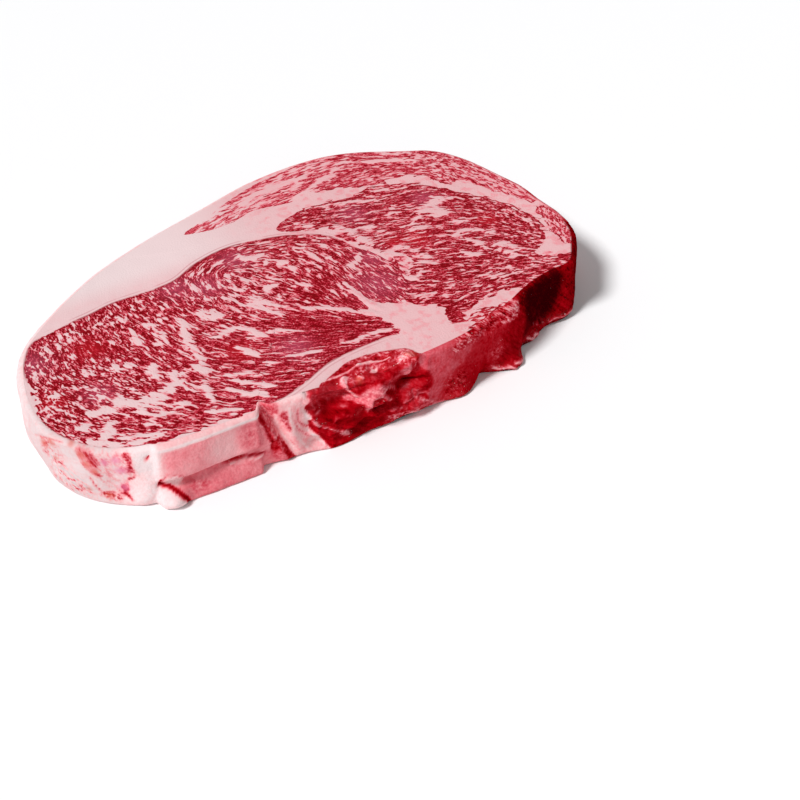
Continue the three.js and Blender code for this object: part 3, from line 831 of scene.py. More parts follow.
def depth_in_curve(points, steps, x, y):
    """How far each place is inside the smooth outline through the points."""
    return depth_inside(closed_curve(points, steps), x, y)


def soft_inside(points, soft, x, y):
    """1 inside the smooth outline of a patch and 0 outside it, with a soft border."""
    return smoothstep(-soft, soft, depth_in_curve(points, PATCH_STEPS, x, y))


def roughness_of(points, size, pattern):
    """Smooth random unevenness from about -1 to 1 with bumps of that size."""
    shift = Vector((pattern * 17.3, pattern * 5.1, pattern * 11.7))
    return np.array([noise.noise(Vector(p) / size + shift) for p in points])


def unevenness(name, places):
    """The random unevenness of this name, in millimetres."""
    height, size, pattern = UNEVENNESS[name]
    return height * roughness_of(places, size, pattern)


def rim_line():
    """Places round the rim, the direction out of the steak at each, how far along the rim each is,
    and the same for the chine side, where it is the place along X as far as the narrow end."""
    line, along = closed_line(RIM_POINTS)
    chine = 1 - smoothstep(*CHINE_FROM_Y, line[:, 1])
    chine = np.maximum(chine, smoothstep(*NARROW_END_FROM_X, line[:, 0]) * (line[:, 1] < 0))
    spacing = FAR_SPACING + (CHINE_SPACING - FAR_SPACING) * chine
    count = np.r_[0, np.cumsum(np.diff(along) / spacing[1:])]
    steps = np.interp(np.linspace(0, count[-1], RIM_STEPS, endpoint=False), count, along)
    places = places_along(line, along, steps)
    ahead = places_along(line, along, steps + 0.5) - places_along(line, along, steps - 0.5)
    ahead /= np.linalg.norm(ahead, axis=1)[:, None]
    chine_side = line[:, 1] < CHINE_BELOW_Y
    turn = np.interp(TURN_X, line[chine_side, 0], along[chine_side])
    chine_place = np.where(places[:, 0] < TURN_X, steps - turn + TURN_X, places[:, 0])
    return places, np.c_[ahead[:, 1], -ahead[:, 0]], steps, along[-1], chine_place


def edge_rounding(z):
    """How far the rounded edges draw the side in at this height."""

    def corner(radius, depth):
        inner = np.clip(radius - depth, 0, radius)
        return radius - np.sqrt(radius**2 - inner**2)

    return -corner(TOP_ROUND, THICKNESS - z) - corner(BOTTOM_ROUND, z)


def side_swell(along, z):
    """How far the side bulges, with its soft waves."""
    level = 2 * z / THICKNESS - 1
    out = FULLNESS * (1 - level**2)
    for wave in SIDE_WAVES:
        lean = along / wave["along"] + z / wave["up"] + wave["start"]
        out = out + wave["out"] * np.sin(lean) * (1 - level**4)
    return out


def rib_bed(x, z):
    """The notched bed that the rib left, and the slot beside it."""
    bed = RIB_BED
    below = bed["foot"] + (bed["under_ledge"] - bed["foot"]) * np.minimum(1, z / bed["ledge"])
    above = smoothstep(bed["ledge"] - LEDGE_EDGE, bed["ledge"] + LEDGE_EDGE, z)
    out = below + (bed["block"] - below) * above
    slot_x = RIB_SLOT["x"] + RIB_SLOT["lean"] * (THICKNESS - z)
    slot = bell((x - slot_x) / RIB_SLOT["half_width"]) * smoothstep(0, RIB_SLOT["foot_fade"], z)
    return out * between(bed["from"], bed["to"], bed["edge"], x) - RIB_SLOT["depth"] * slot


def torn_ridges(x, z):
    """The long ridges of the torn chine muscle."""
    r = RIDGES
    inside = between(r["from_x"], r["to_x"], r["edge"], x)
    inside = inside * between(r["from_z"], r["to_z"], r["edge"], z)
    wave = np.abs(np.sin(z / r["apart"] + 0.6 * np.sin(x / r["wander"])))
    return inside * r["out"] * (1 - 2 * wave)


def chine_relief(x, z):
    out = rib_bed(x, z) + torn_ridges(x, z)
    for lump in CHINE_LUMPS:
        out = out + lump["out"] * bell(
            np.hypot((x - lump["x"]) / lump["across"], (z - lump["z"]) / lump["up"])
        )
    return out


def side_offset(x, y, along, z):
    """How far the side stands out from the rim's outline."""
    from_end = np.hypot(x - NARROW_END["x"], y - NARROW_END["y"])
    tuck = NARROW_END["tuck"] * bell(from_end / NARROW_END["reach"]) * (1 - z / THICKNESS) ** 1.5
    on_chine = 1 - smoothstep(CHINE_FADE["to"], CHINE_FADE["from"], y)
    return edge_rounding(z) + side_swell(along, z) - tuck + on_chine * chine_relief(x, z)


def face_height(x, y):
    """Height of the upper cut face, which dips at the torn muscle."""
    w = FACE_WAVES
    uneven = w["broad"] * np.sin(x / w["broad_x"] + 0.8) * np.cos(y / w["broad_y"])
    uneven = uneven + w["fine"] * np.sin(x / w["fine_x"] - y / w["fine_y"])
    torn = np.hypot((x - TORN["x"]) / TORN["half_length"], (y - TORN["y"]) / TORN["half_width"])
    return THICKNESS + uneven - TORN["dip"] * (1 - smoothstep(0.5, 1, torn))


def row_heights():
    """Heights of the rows of the side, closer together near the cut faces."""
    t = np.linspace(0, 1, ROW_COUNT)
    return THICKNESS * (0.65 * t + 0.35 * (0.5 - 0.5 * np.cos(math.pi * t)))


def drum():
    """A closed drum, modelled by hand: a ring of points drawn up row by row and closed at both ends.
    Its radius is 1 and its height 1, and shape_drum gives it the steak's form."""
    bpy.ops.object.select_all(action="DESELECT")
    bpy.ops.mesh.primitive_circle_add(vertices=RIM_STEPS, radius=1, fill_type="NOTHING")
    body = bpy.context.object
    body.name = "steak_skin"
    rows = row_heights() / THICKNESS

    # The side, and the upper end, whose ring is still selected
    bpy.ops.object.mode_set(mode="EDIT")
    bpy.ops.mesh.select_all(action="SELECT")
    for rise in np.diff(rows):
        bpy.ops.mesh.extrude_region_move(TRANSFORM_OT_translate={"value": (0, 0, rise)})
    bpy.ops.mesh.fill_grid(span=RIM_STEPS // 4)
    bpy.ops.mesh.select_all(action="DESELECT")
    bpy.ops.object.mode_set(mode="OBJECT")

    # The lower end
    for vertex in body.data.vertices:
        vertex.select = vertex.co.z < FLAT
    for edge in body.data.edges:
        edge.select = all(body.data.vertices[v].co.z < FLAT for v in edge.vertices)
    bpy.ops.object.mode_set(mode="EDIT")
    bpy.ops.mesh.fill_grid(span=RIM_STEPS // 4)
    bpy.ops.mesh.select_all(action="SELECT")
    bpy.ops.mesh.normals_make_consistent(inside=False)
    bpy.ops.mesh.select_all(action="DESELECT")
    bpy.ops.object.mode_set(mode="OBJECT")

    # Fewer faces where the steak lies on them
    select_lower_face(body)
    bpy.ops.object.mode_set(mode="EDIT")
    bpy.ops.mesh.decimate(ratio=BOTTOM_SHARE)
    bpy.ops.mesh.select_all(action="DESELECT")
    bpy.ops.object.mode_set(mode="OBJECT")
    return body


def select_lower_face(body):
    """Selects the middle of the lower cut face, a little inside its edge."""
    for polygon in body.data.polygons:
        centre = polygon.center
        polygon.select = centre.z < FLAT and math.hypot(centre.x, centre.y) < BOTTOM_REACH


def places_of(mesh):
    """The mesh's points as rows of three numbers."""
    flat = np.zeros(len(mesh.vertices) * 3)
    mesh.vertices.foreach_get("co", flat)
    return flat.reshape(-1, 3)


def shape_drum(body):
    """The drum's points at the steak's outline, side and cut faces, the middle of the outline, and
    what the colouring needs: u is the place along the chine side, and climb the height there, which
    carries on inwards over a cut face."""
    rim, outward, along, rim_length, chine_place = rim_line()
    drum_at = places_of(body.data)
    turn = np.arctan2(drum_at[:, 1], drum_at[:, 0]) / (2 * math.pi) % 1 * RIM_STEPS
    size = np.minimum(1, np.hypot(drum_at[:, 0], drum_at[:, 1]))
    z = np.clip(drum_at[:, 2], 0, 1) * THICKNESS
    step = np.arange(RIM_STEPS + 1)

    def round_rim(values):
        return np.interp(turn, step, np.r_[values, values[:1]])

    rim_x, rim_y = round_rim(rim[:, 0]), round_rim(rim[:, 1])
    out_x, out_y = round_rim(outward[:, 0]), round_rim(outward[:, 1])
    far = np.interp(turn, step, np.r_[along, rim_length])
    on_side = size > 1 - 1e-5
    out = side_offset(rim_x, rim_y, far, z)
    x, y = (rim_x + out_x * out) * size, (rim_y + out_y * out) * size
    height = z / THICKNESS * face_height(x, y)
    middle = np.array([(x.min() + x.max()) / 2, (y.min() + y.max()) / 2, 0])
    places = np.c_[x, y, height]
    inwards = (1 - size) * (rim_x * out_x + rim_y * out_y)
    return places, middle, {
        "side": on_side, "along": far, "out": np.c_[out_x, out_y], "z": z, "u": round_rim(chine_place),
        "x": x, "y": y, "climb": z + np.where(z > THICKNESS / 2, inwards, -inwards),
    }


def grain_of(muscle, x, y):
    """Direction, length and fat share of the marbling at each place, blended between the marks.
    The direction is kept as a doubled angle, so that a line and its opposite are the same."""
    marks = np.array(GRAIN_MARKS[muscle], float)
    apart = (x[:, None] - marks[:, 0]) ** 2 + (y[:, None] - marks[:, 1]) ** 2
    weight = np.exp(-apart / GRAIN_REACH) + 1e-12
    weight /= weight.sum(axis=1)[:, None]
    doubled = np.radians(2 * marks[:, 2])
    across, up = weight @ np.cos(doubled), weight @ np.sin(doubled)
    size = np.maximum(np.hypot(across, up), 1e-6)
    return across / size, up / size, weight @ marks[:, 3], weight @ marks[:, 4]


def fat_offset(share):
    """How far the marbling pattern is raised so that this share of it turns to fat."""
    return 0.5 * np.log(share / (1 - share)) - 0.3


def tapered_reach(half_width, line, x, y):
    """1 on a line of fat, falling off to the sides and towards its ends, which are narrower."""
    middle = np.mean(np.array(line, float), axis=0)
    farthest = max(np.hypot(px - middle[0], py - middle[1]) for px, py in line)
    towards_end = np.hypot(x - middle[0], y - middle[1]) / max(farthest, 1e-6)
    width = half_width * (1 - 0.5 * smoothstep(0.5, 1.15, towards_end)) * 1.15
    return np.exp(-((distance_to_line(line, x, y) / width) ** 2))


def cut_face_fields(x, y):
    """What the marbling needs at each place of a cut face."""
    depth = np.full(x.shape, -1e9)
    fields = {name: np.zeros(x.shape) for name in ("across", "up", "length", "share")}
    for muscle, points in MUSCLES.items():
        inside = depth_in_curve(points, MUSCLE_STEPS, x, y)
        nearer = inside > depth
        for name, value in zip(fields, grain_of(muscle, x, y)):
            fields[name] = np.where(nearer, value, fields[name])
        depth = np.where(nearer, inside, depth)
    fat = fat_offset(np.clip(fields["share"], 0.05, 0.9))
    pool = np.zeros(x.shape)
    for half_width, line in POOLS:
        pool = np.maximum(pool, tapered_reach(half_width, line, x, y))
    for half_width, line in LEAN:
        reach = half_width - distance_to_line(line, x, y)
        fat = fat - LEAN_STRENGTH * smoothstep(-2.5, 1.5, reach)
    return {
        "grain": np.c_[fields["across"], fields["up"], np.zeros(x.shape)] * fields["length"][:, None],
        "fat": fat + POOL_STRENGTH * pool - BORDER_STRENGTH * bell((depth - 0.7) / 1.1),
        "depth": depth,
        "outer_fat": 3.0 - 3.5 * spots(MOTTLED_SPOTS, x, y),
        "eye": np.clip(depth_in_curve(MUSCLES["eye"], EYE_STEPS, x, y), -9, 9),
        "seam": seam_strength(x, y),
        "cream": creaminess(x, y),
        "dull": spots(DULL_SPOTS, x, y),
        "bright": spots(BRIGHT_SPOTS, x, y),
        "pale": pale_meat(x, y),
        "torn": smoothstep(-0.4, 0.6, depth_in_curve(MUSCLES["torn"], MUSCLE_STEPS, x, y)),
    }


def seam_strength(x, y):
    """How clearly the eye's own skin shows: along the fat cap, and along the torn muscle."""
    by_cap = smoothstep(2, 10, y) * smoothstep(36, 22, x)
    by_torn = 0.85 * smoothstep(-40, -46, y) * smoothstep(14, 6, x) * smoothstep(-52, -38, x)
    return np.maximum(by_cap, by_torn)


def creaminess(x, y):
    """How pale the fat is: whitest in the fat cap, and pinker towards the broad end."""
    in_fat_cap = smoothstep(20, 34, y + 0.12 * x) * smoothstep(25, -20, x)
    return np.clip(0.05 + 0.5 * smoothstep(50, -100, x) + 0.6 * in_fat_cap, 0, 1)


def pale_meat(x, y):
    """How pale the meat itself is: palest in the thin band under the fat cap and round the end."""
    in_band, in_end = (
        smoothstep(-0.8, 1.2, depth_in_curve(MUSCLES[name], MUSCLE_STEPS, x, y))
        for name in ("band", "end")
    )
    return (in_band + in_end) * (0.7 + 0.25 * smoothstep(50, 10, x) + 0.2 * smoothstep(84, 96, x))


def spots(places, x, y):
    """Soft round spots, 1 at each middle."""
    value = np.zeros(x.shape)
    for spot_x, spot_y, reach in places:
        value = np.maximum(value, bell(np.hypot(x - spot_x, y - spot_y) / reach))
    return value


def painted_side(u, climb):
    """Redness, mottle and lift of the chine side and the narrow end, from their patches and lines."""
    red = BARE_SIDE["red"] - BARE_SIDE["paler_end"] * smoothstep(-98, -104, u)
    mottle = np.full(u.shape, BARE_SIDE["mottle"])
    lift = np.zeros(u.shape)
    for redness, mottling, raised, soft, points in SIDE_PATCHES:
        inside = soft_inside(points, soft, u, climb)
        red = red + (redness - red) * inside
        mottle = mottle + (mottling - mottle) * inside
        lift = lift + raised * inside
    for redness, raised, half_width, line in SIDE_LINES:
        inside = smoothstep(*LINE_BORDER, half_width - distance_to_line(line, u, climb))
        red = red + (redness - red) * inside
        lift = lift + raised * inside
    return red, mottle, lift


def torn_fibres(u, climb):
    """How torn the side is, and the fibres there: a doubled angle, as in grain_of, times a length."""
    tearing = np.zeros(u.shape)
    fibre = np.zeros((len(u), 3))
    for degrees, length, strength, soft, points in TORN_PLACES:
        inside = soft_inside(points, soft, u, climb)
        tearing = np.maximum(tearing, strength * inside)
        doubled = math.radians(2 * degrees)
        fibre[inside > 0] = (math.cos(doubled) * length, math.sin(doubled) * length, 0)
    return tearing, fibre


def painted_hollow_shade(u, climb):
    """The painted shade of the side's hollows and of the deep hollow under the broad end's rim."""
    painted_shade = np.zeros(u.shape)
    for hollow_u, hollow_z, across, up in SIDE_HOLLOWS:
        painted_shade = np.maximum(painted_shade, bell(np.hypot((u - hollow_u) / across, (climb - hollow_z) / up)))
    darkness, soft, points = DEEP_HOLLOW_SHADE
    return np.maximum(HOLLOW_SHADE_STRENGTH * painted_shade, darkness * soft_inside(points, soft, u, climb))


def wetness(u, climb):
    """How much the side sparkles, with its clear coat and its pale flecks, which are partly painted
    glints.
    """
    wet = np.zeros(u.shape)
    for strength, half_width, line in WET_LINES:
        wet = np.maximum(wet, strength * bell(distance_to_line(line, u, climb) / half_width / 1.4))
    return wet


def side_fields(shape):
    """What the colouring of the side needs, and its relief. The chine side and the narrow end are
    painted place by place, and the far side only grows redder towards the broad end."""
    x, y, u, climb = shape["x"], shape["y"], shape["u"], shape["climb"]
    flat = np.zeros(len(x))
    smear = roughness_of(np.c_[shape["along"] * 0.3, climb, flat], 5, 3)
    smear = smear + 0.5 * roughness_of(np.c_[shape["along"] * 0.7, climb * 1.4, flat], 2.6, 8)
    on_chine = 1 - smoothstep(*CHINE_BORDER["y"], y + CHINE_BORDER["wander"] * smear)
    below = 1 - smoothstep(*END_BORDER["y"], y + END_BORDER["wander"] * smear)
    on_chine = np.maximum(on_chine, smoothstep(*END_BORDER["x"], x) * below)
    red, mottle, lift = painted_side(u, climb)
    tearing, fibre = torn_fibres(u, climb)
    at_end = smoothstep(-88, -98, u)
    # Painted shade in the hollows, and over the narrow end
    painted_shade = np.maximum(painted_hollow_shade(u, climb), END_PAINTED_SHADE * at_end)
    far = FAR_SIDE
    broad = smoothstep(-20, 70, x)
    patches = far["patches"] * smoothstep(-0.1, 0.9, smear + 0.25 * broad)
    far_red = far["red"] + broad * (far["broad_red"] + patches)
    upper_rim = smoothstep(21, 23, climb) * smoothstep(30, -30, x)
    far_red = far_red + (far["rim_red"] - far_red) * upper_rim
    far_mottle = far["mottle"] + far["broad_mottle"] * broad
    return {
        "red": on_chine * red + (1 - on_chine) * far_red,
        "mottle": on_chine * (mottle + 0.05 * at_end) + (1 - on_chine) * far_mottle,
        "tearing": on_chine * tearing,
        "fibre": fibre,
        "skin_place": np.c_[u, climb, flat],
        "painted_shade": on_chine * painted_shade,
        "wet": on_chine * wetness(u, climb),
        "magenta": on_chine * spots(MAGENTA_SPOTS, u, climb),
        "coral": on_chine * spots(CORAL_SPOTS, u, climb),
    }, on_chine * lift


def fine_relief(places, shape, lift, torn):
    """Small unevenness that the solid leaves out. It stands out from the side, and up from the torn
    muscle's part of the upper cut face, and in between along the rim."""
    u, climb = shape["u"], shape["climb"]
    bumps = unevenness("swells", places) + unevenness("bumps", places)
    crags = unevenness("crags", places * CRAG_STRETCH) + unevenness("grit", places)
    r = TORN_RIDGES
    waves = roughness_of(places * r["stretch"], r["size"], r["pattern"])
    ridges = r["crest"] - r["depth"] * np.abs(waves)
    carved = np.zeros(u.shape)
    for carve_u, carve_z, across, up, amount in TORN_RELIEF:
        carved += amount * bell(np.hypot((u - carve_u) / across, (climb - carve_z) / up))
    out = lift + bumps + torn * (crags + r["share"] * ridges) + (torn > 0) * carved
    end = np.where(shape["side"], np.minimum(climb, THICKNESS - climb), 0)
    fade = np.maximum(torn * smoothstep(0, 2, climb), np.clip(end, 0, 1))
    lean = math.pi / 2 * smoothstep(*TORN_SIDE["turns"], climb) * torn
    moved = places.copy()
    moved[:, :2] += shape["out"] * (out * fade * np.cos(lean))[:, None]
    moved[:, 2] = np.minimum(moved[:, 2] + out * fade * np.sin(lean), HIGHEST)
    return moved


def put_value(mesh, name, values):
    """Stores one number, or one direction, for each point of the mesh."""
    values = np.asarray(values, np.float32)
    kind, key = ("FLOAT_VECTOR", "vector") if values.ndim == 2 else ("FLOAT", "value")
    mesh.attributes.new(name, kind, "POINT").data.foreach_set(key, values.ravel())


def steak_skin():
    """The whole skin with its stored values, and the middle of the steak, which is its origin."""
    body = drum()
    places, middle, shape = shape_drum(body)
    faces = cut_face_fields(places[:, 0], places[:, 1])
    sides, lift = side_fields(shape)
    upper = ~shape["side"] & (shape["z"] > THICKNESS / 2)
    torn_side = between(TORN_SIDE["from"], TORN_SIDE["to"], TORN_SIDE["edge"], shape["u"])
    torn_side = torn_side * smoothstep(0, 3, shape["climb"])
    torn_side = torn_side * shape["side"] * (places[:, 1] < CHINE_BELOW_Y)
    faces["torn"] = np.where(upper, faces["torn"], shape["side"])
    into_torn = depth_in_curve(MUSCLES["torn"], MUSCLE_STEPS, places[:, 0], places[:, 1])
    torn = np.where(upper, smoothstep(0.2, 3.5, into_torn), torn_side)
    moved = fine_relief(places, shape, lift, torn)
    swell = FAT_SWELL * np.tanh(faces["fat"]) + unevenness("cut face", places)
    inner = smoothstep(0, 3, depth_of_rim(places)) * (1 - torn)
    moved[:, 2] += np.where(upper, swell * inner, 0)
    body.data.vertices.foreach_set("co", ((moved - middle) * MM).ravel())
    for name, values in (faces | sides).items():
        put_value(body.data, name, values)
    body.data.update()
    for polygon in body.data.polygons:
        polygon.use_smooth = True
        polygon.material_index = int(all(shape["side"][v] for v in polygon.vertices))
    return body, middle


def depth_of_rim(places):
    """Rough distance of each place from the rim, inwards."""
    return depth_in_curve(RIM_POINTS, RIM_OUTLINE_STEPS, places[:, 0], places[:, 1]) - TOP_ROUND


def new_tree(material):
    material.use_nodes = True
    material.node_tree.nodes.clear()
    return material.node_tree


def connect(tree, socket, value):
    """Links another node's output to the socket, or gives the socket its own value."""
    if isinstance(value, bpy.types.NodeSocket):
        tree.links.new(value, socket)
    else:
        socket.default_value = value


def add(tree, kind, settings=None, **inputs):
    """Adds a node. Inputs are numbers, colours or another node's output, by socket name, with _ for
    a space, or by socket number after an n."""
    node = tree.nodes.new(kind)
    for name, value in (settings or {}).items():
        setattr(node, name, value)
    for name, value in inputs.items():
        key = int(name[1:]) if name[0] == "n" and name[1:].isdigit() else name.replace("_", " ")
        connect(tree, node.inputs[key], value)
    return node


def calc(tree, operation, a, b=0.0, c=0.0):
    return add(tree, "ShaderNodeMath", {"operation": operation}, n0=a, n1=b, n2=c).outputs[0]


def vector_calc(tree, operation, a, b=(0, 0, 0), c=(0, 0, 0)):
    return add(tree, "ShaderNodeVectorMath", {"operation": operation}, n0=a, n1=b, n2=c).outputs[0]


def vector_scale(tree, vector, factor):
    node = add(tree, "ShaderNodeVectorMath", {"operation": "SCALE"}, n0=vector, Scale=factor)
    return node.outputs[0]


def opposite(tree, value):
    return calc(tree, "SUBTRACT", 1.0, value)


def ramp_value(tree, value, low, high, start=0.0, end=1.0):
    """Rises smoothly from start to end as value goes from low to high."""
    node = add(
        tree, "ShaderNodeMapRange", {"interpolation_type": "SMOOTHSTEP"},
        Value=value, From_Min=low, From_Max=high, To_Min=start, To_Max=end,
    )
    return node.outputs["Result"]


def mix_colour(tree, factor, a, b, blend="MIX"):
    node = add(tree, "ShaderNodeMix", {"data_type": "RGBA", "blend_type": blend}, n0=factor, n6=a, n7=b)
    return node.outputs[2]


def stored(tree, name, output="Fac"):
    """What the mesh stores under this name: a number, or with the output Vector a direction."""
    return add(tree, "ShaderNodeAttribute", {"attribute_name": name}).outputs[output]


def noise_value(tree, vector, scale, detail=0.0):
    node = add(
        tree, "ShaderNodeTexNoise", {"noise_dimensions": "3D"},
        Vector=vector, Scale=scale, Detail=detail, Roughness=0.5,
    )
    return node.outputs[0]


def rgb(colour):
    """A colour as a screen shows it, from 0 to 255, for a shader socket."""
    shares = [part / 255 for part in colour]
    return (*(v / 12.92 if v <= 0.04045 else ((v + 0.055) / 1.055) ** 2.4 for v in shares), 1)


def new_group(name, inputs, outputs):
    """A shader node group with named sockets. Returns it with its input and output nodes."""
    group = bpy.data.node_groups.new(name, "ShaderNodeTree")
    for socket_name, kind in inputs:
        group.interface.new_socket(socket_name, in_out="INPUT", socket_type=kind)
    for socket_name, kind in outputs:
        group.interface.new_socket(socket_name, in_out="OUTPUT", socket_type=kind)
    return group, group.nodes.new("NodeGroupInput"), group.nodes.new("NodeGroupOutput")


def grain_streaks_group():
    """Noise drawn out along the grain: the mean of several samples taken along it."""
    group, given, result = new_group(
        "Grain streaks",
        [
            ("Position", "NodeSocketVector"), ("Grain", "NodeSocketVector"),
            ("Width", "NodeSocketFloat"), ("Reach", "NodeSocketFloat"),
        ],
        [("Value", "NodeSocketFloat")],
    )
    parts = add(group, "ShaderNodeSeparateXYZ", n0=given.outputs["Grain"])
    length = add(group, "ShaderNodeVectorMath", {"operation": "LENGTH"}, n0=given.outputs["Grain"])
    angle = calc(group, "ARCTAN2", parts.outputs[1], parts.outputs[0])
    angle = calc(group, "MULTIPLY", angle, 0.5)
    direction = add(
        group, "ShaderNodeCombineXYZ",
        n0=calc(group, "COSINE", angle), n1=calc(group, "SINE", angle), n2=0.0,
    ).outputs[0]
    reach = calc(group, "MULTIPLY", given.outputs["Reach"], length.outputs["Value"])
    reach = calc(group, "DIVIDE", reach, given.outputs["Width"])
    stretch = vector_scale(group, direction, reach)
    scale = calc(group, "DIVIDE", 1.0, given.outputs["Width"])
    place = vector_scale(group, given.outputs["Position"], scale)
    samples = range(-STREAK_SAMPLES, STREAK_SAMPLES + 1)
    weights = [1 - (abs(k) / (STREAK_SAMPLES + 1)) ** 1.5 for k in samples]
    total = -0.5
    for k, weight in zip(samples, weights):
        share = k / STREAK_SAMPLES
        spot = vector_calc(group, "MULTIPLY_ADD", stretch, (share, share, share), place)
        value = noise_value(group, spot, 1.0)
        total = calc(group, "MULTIPLY_ADD", value, weight / sum(weights), total)
    group.links.new(total, result.inputs[0])
    return group


def streak(tree, streaks, kind, place, grain):
    """Streaks of this kind along the grain, from about -0.5 to 0.5."""
    node = tree.nodes.new("ShaderNodeGroup")
    node.node_tree = streaks
    width, reach = STREAKS[kind]
    values = {"Position": place, "Grain": grain, "Width": width, "Reach": reach}
    for name, value in values.items():
        connect(tree, node.inputs[name], value)
    return node.outputs[0]


def position_mm(tree):
    """Object coordinates in millimetres, moved off the whole numbers where the noise is flat."""
    coordinates = add(tree, "ShaderNodeTexCoord").outputs["Object"]
    return vector_calc(tree, "MULTIPLY_ADD", coordinates, (1000, 1000, 1000), (0.37, 0.61, 0.43))


def finish_material(tree, colour, rough, height, bump=0.4, distance=0.0003, gloss=0.05, wet=None):
    """The surface itself. Bump distance is in metres, and wet places get a clear sharp coat."""
    bump_node = add(tree, "ShaderNodeBump", Strength=bump, Distance=distance, Height=height)
    shader = add(
        tree, "ShaderNodeBsdfPrincipled",
        Base_Color=colour, Roughness=rough, Normal=bump_node.outputs[0],
    )
    shader.inputs["Specular IOR Level"].default_value = gloss
    if wet:
        coat = calc(tree, "MULTIPLY", wet, WET_COAT["weight"])
        tree.links.new(coat, shader.inputs["Coat Weight"])
        shader.inputs["Coat Roughness"].default_value = WET_COAT["roughness"]
    output = tree.nodes.new("ShaderNodeOutputMaterial")
    tree.links.new(shader.outputs[0], output.inputs[0])


def colour_ramp(tree, value, stops):
    """A colour that goes through the stops, each a place from 0 to 1 and a screen colour."""
    ramp = add(tree, "ShaderNodeValToRGB", n0=value)
    elements = ramp.color_ramp.elements
    while len(elements) < len(stops):
        elements.new(0.5)
    for element, (spot, colour) in zip(elements, stops):
        element.position = spot
        element.color = rgb(colour)
    return ramp.outputs[0]


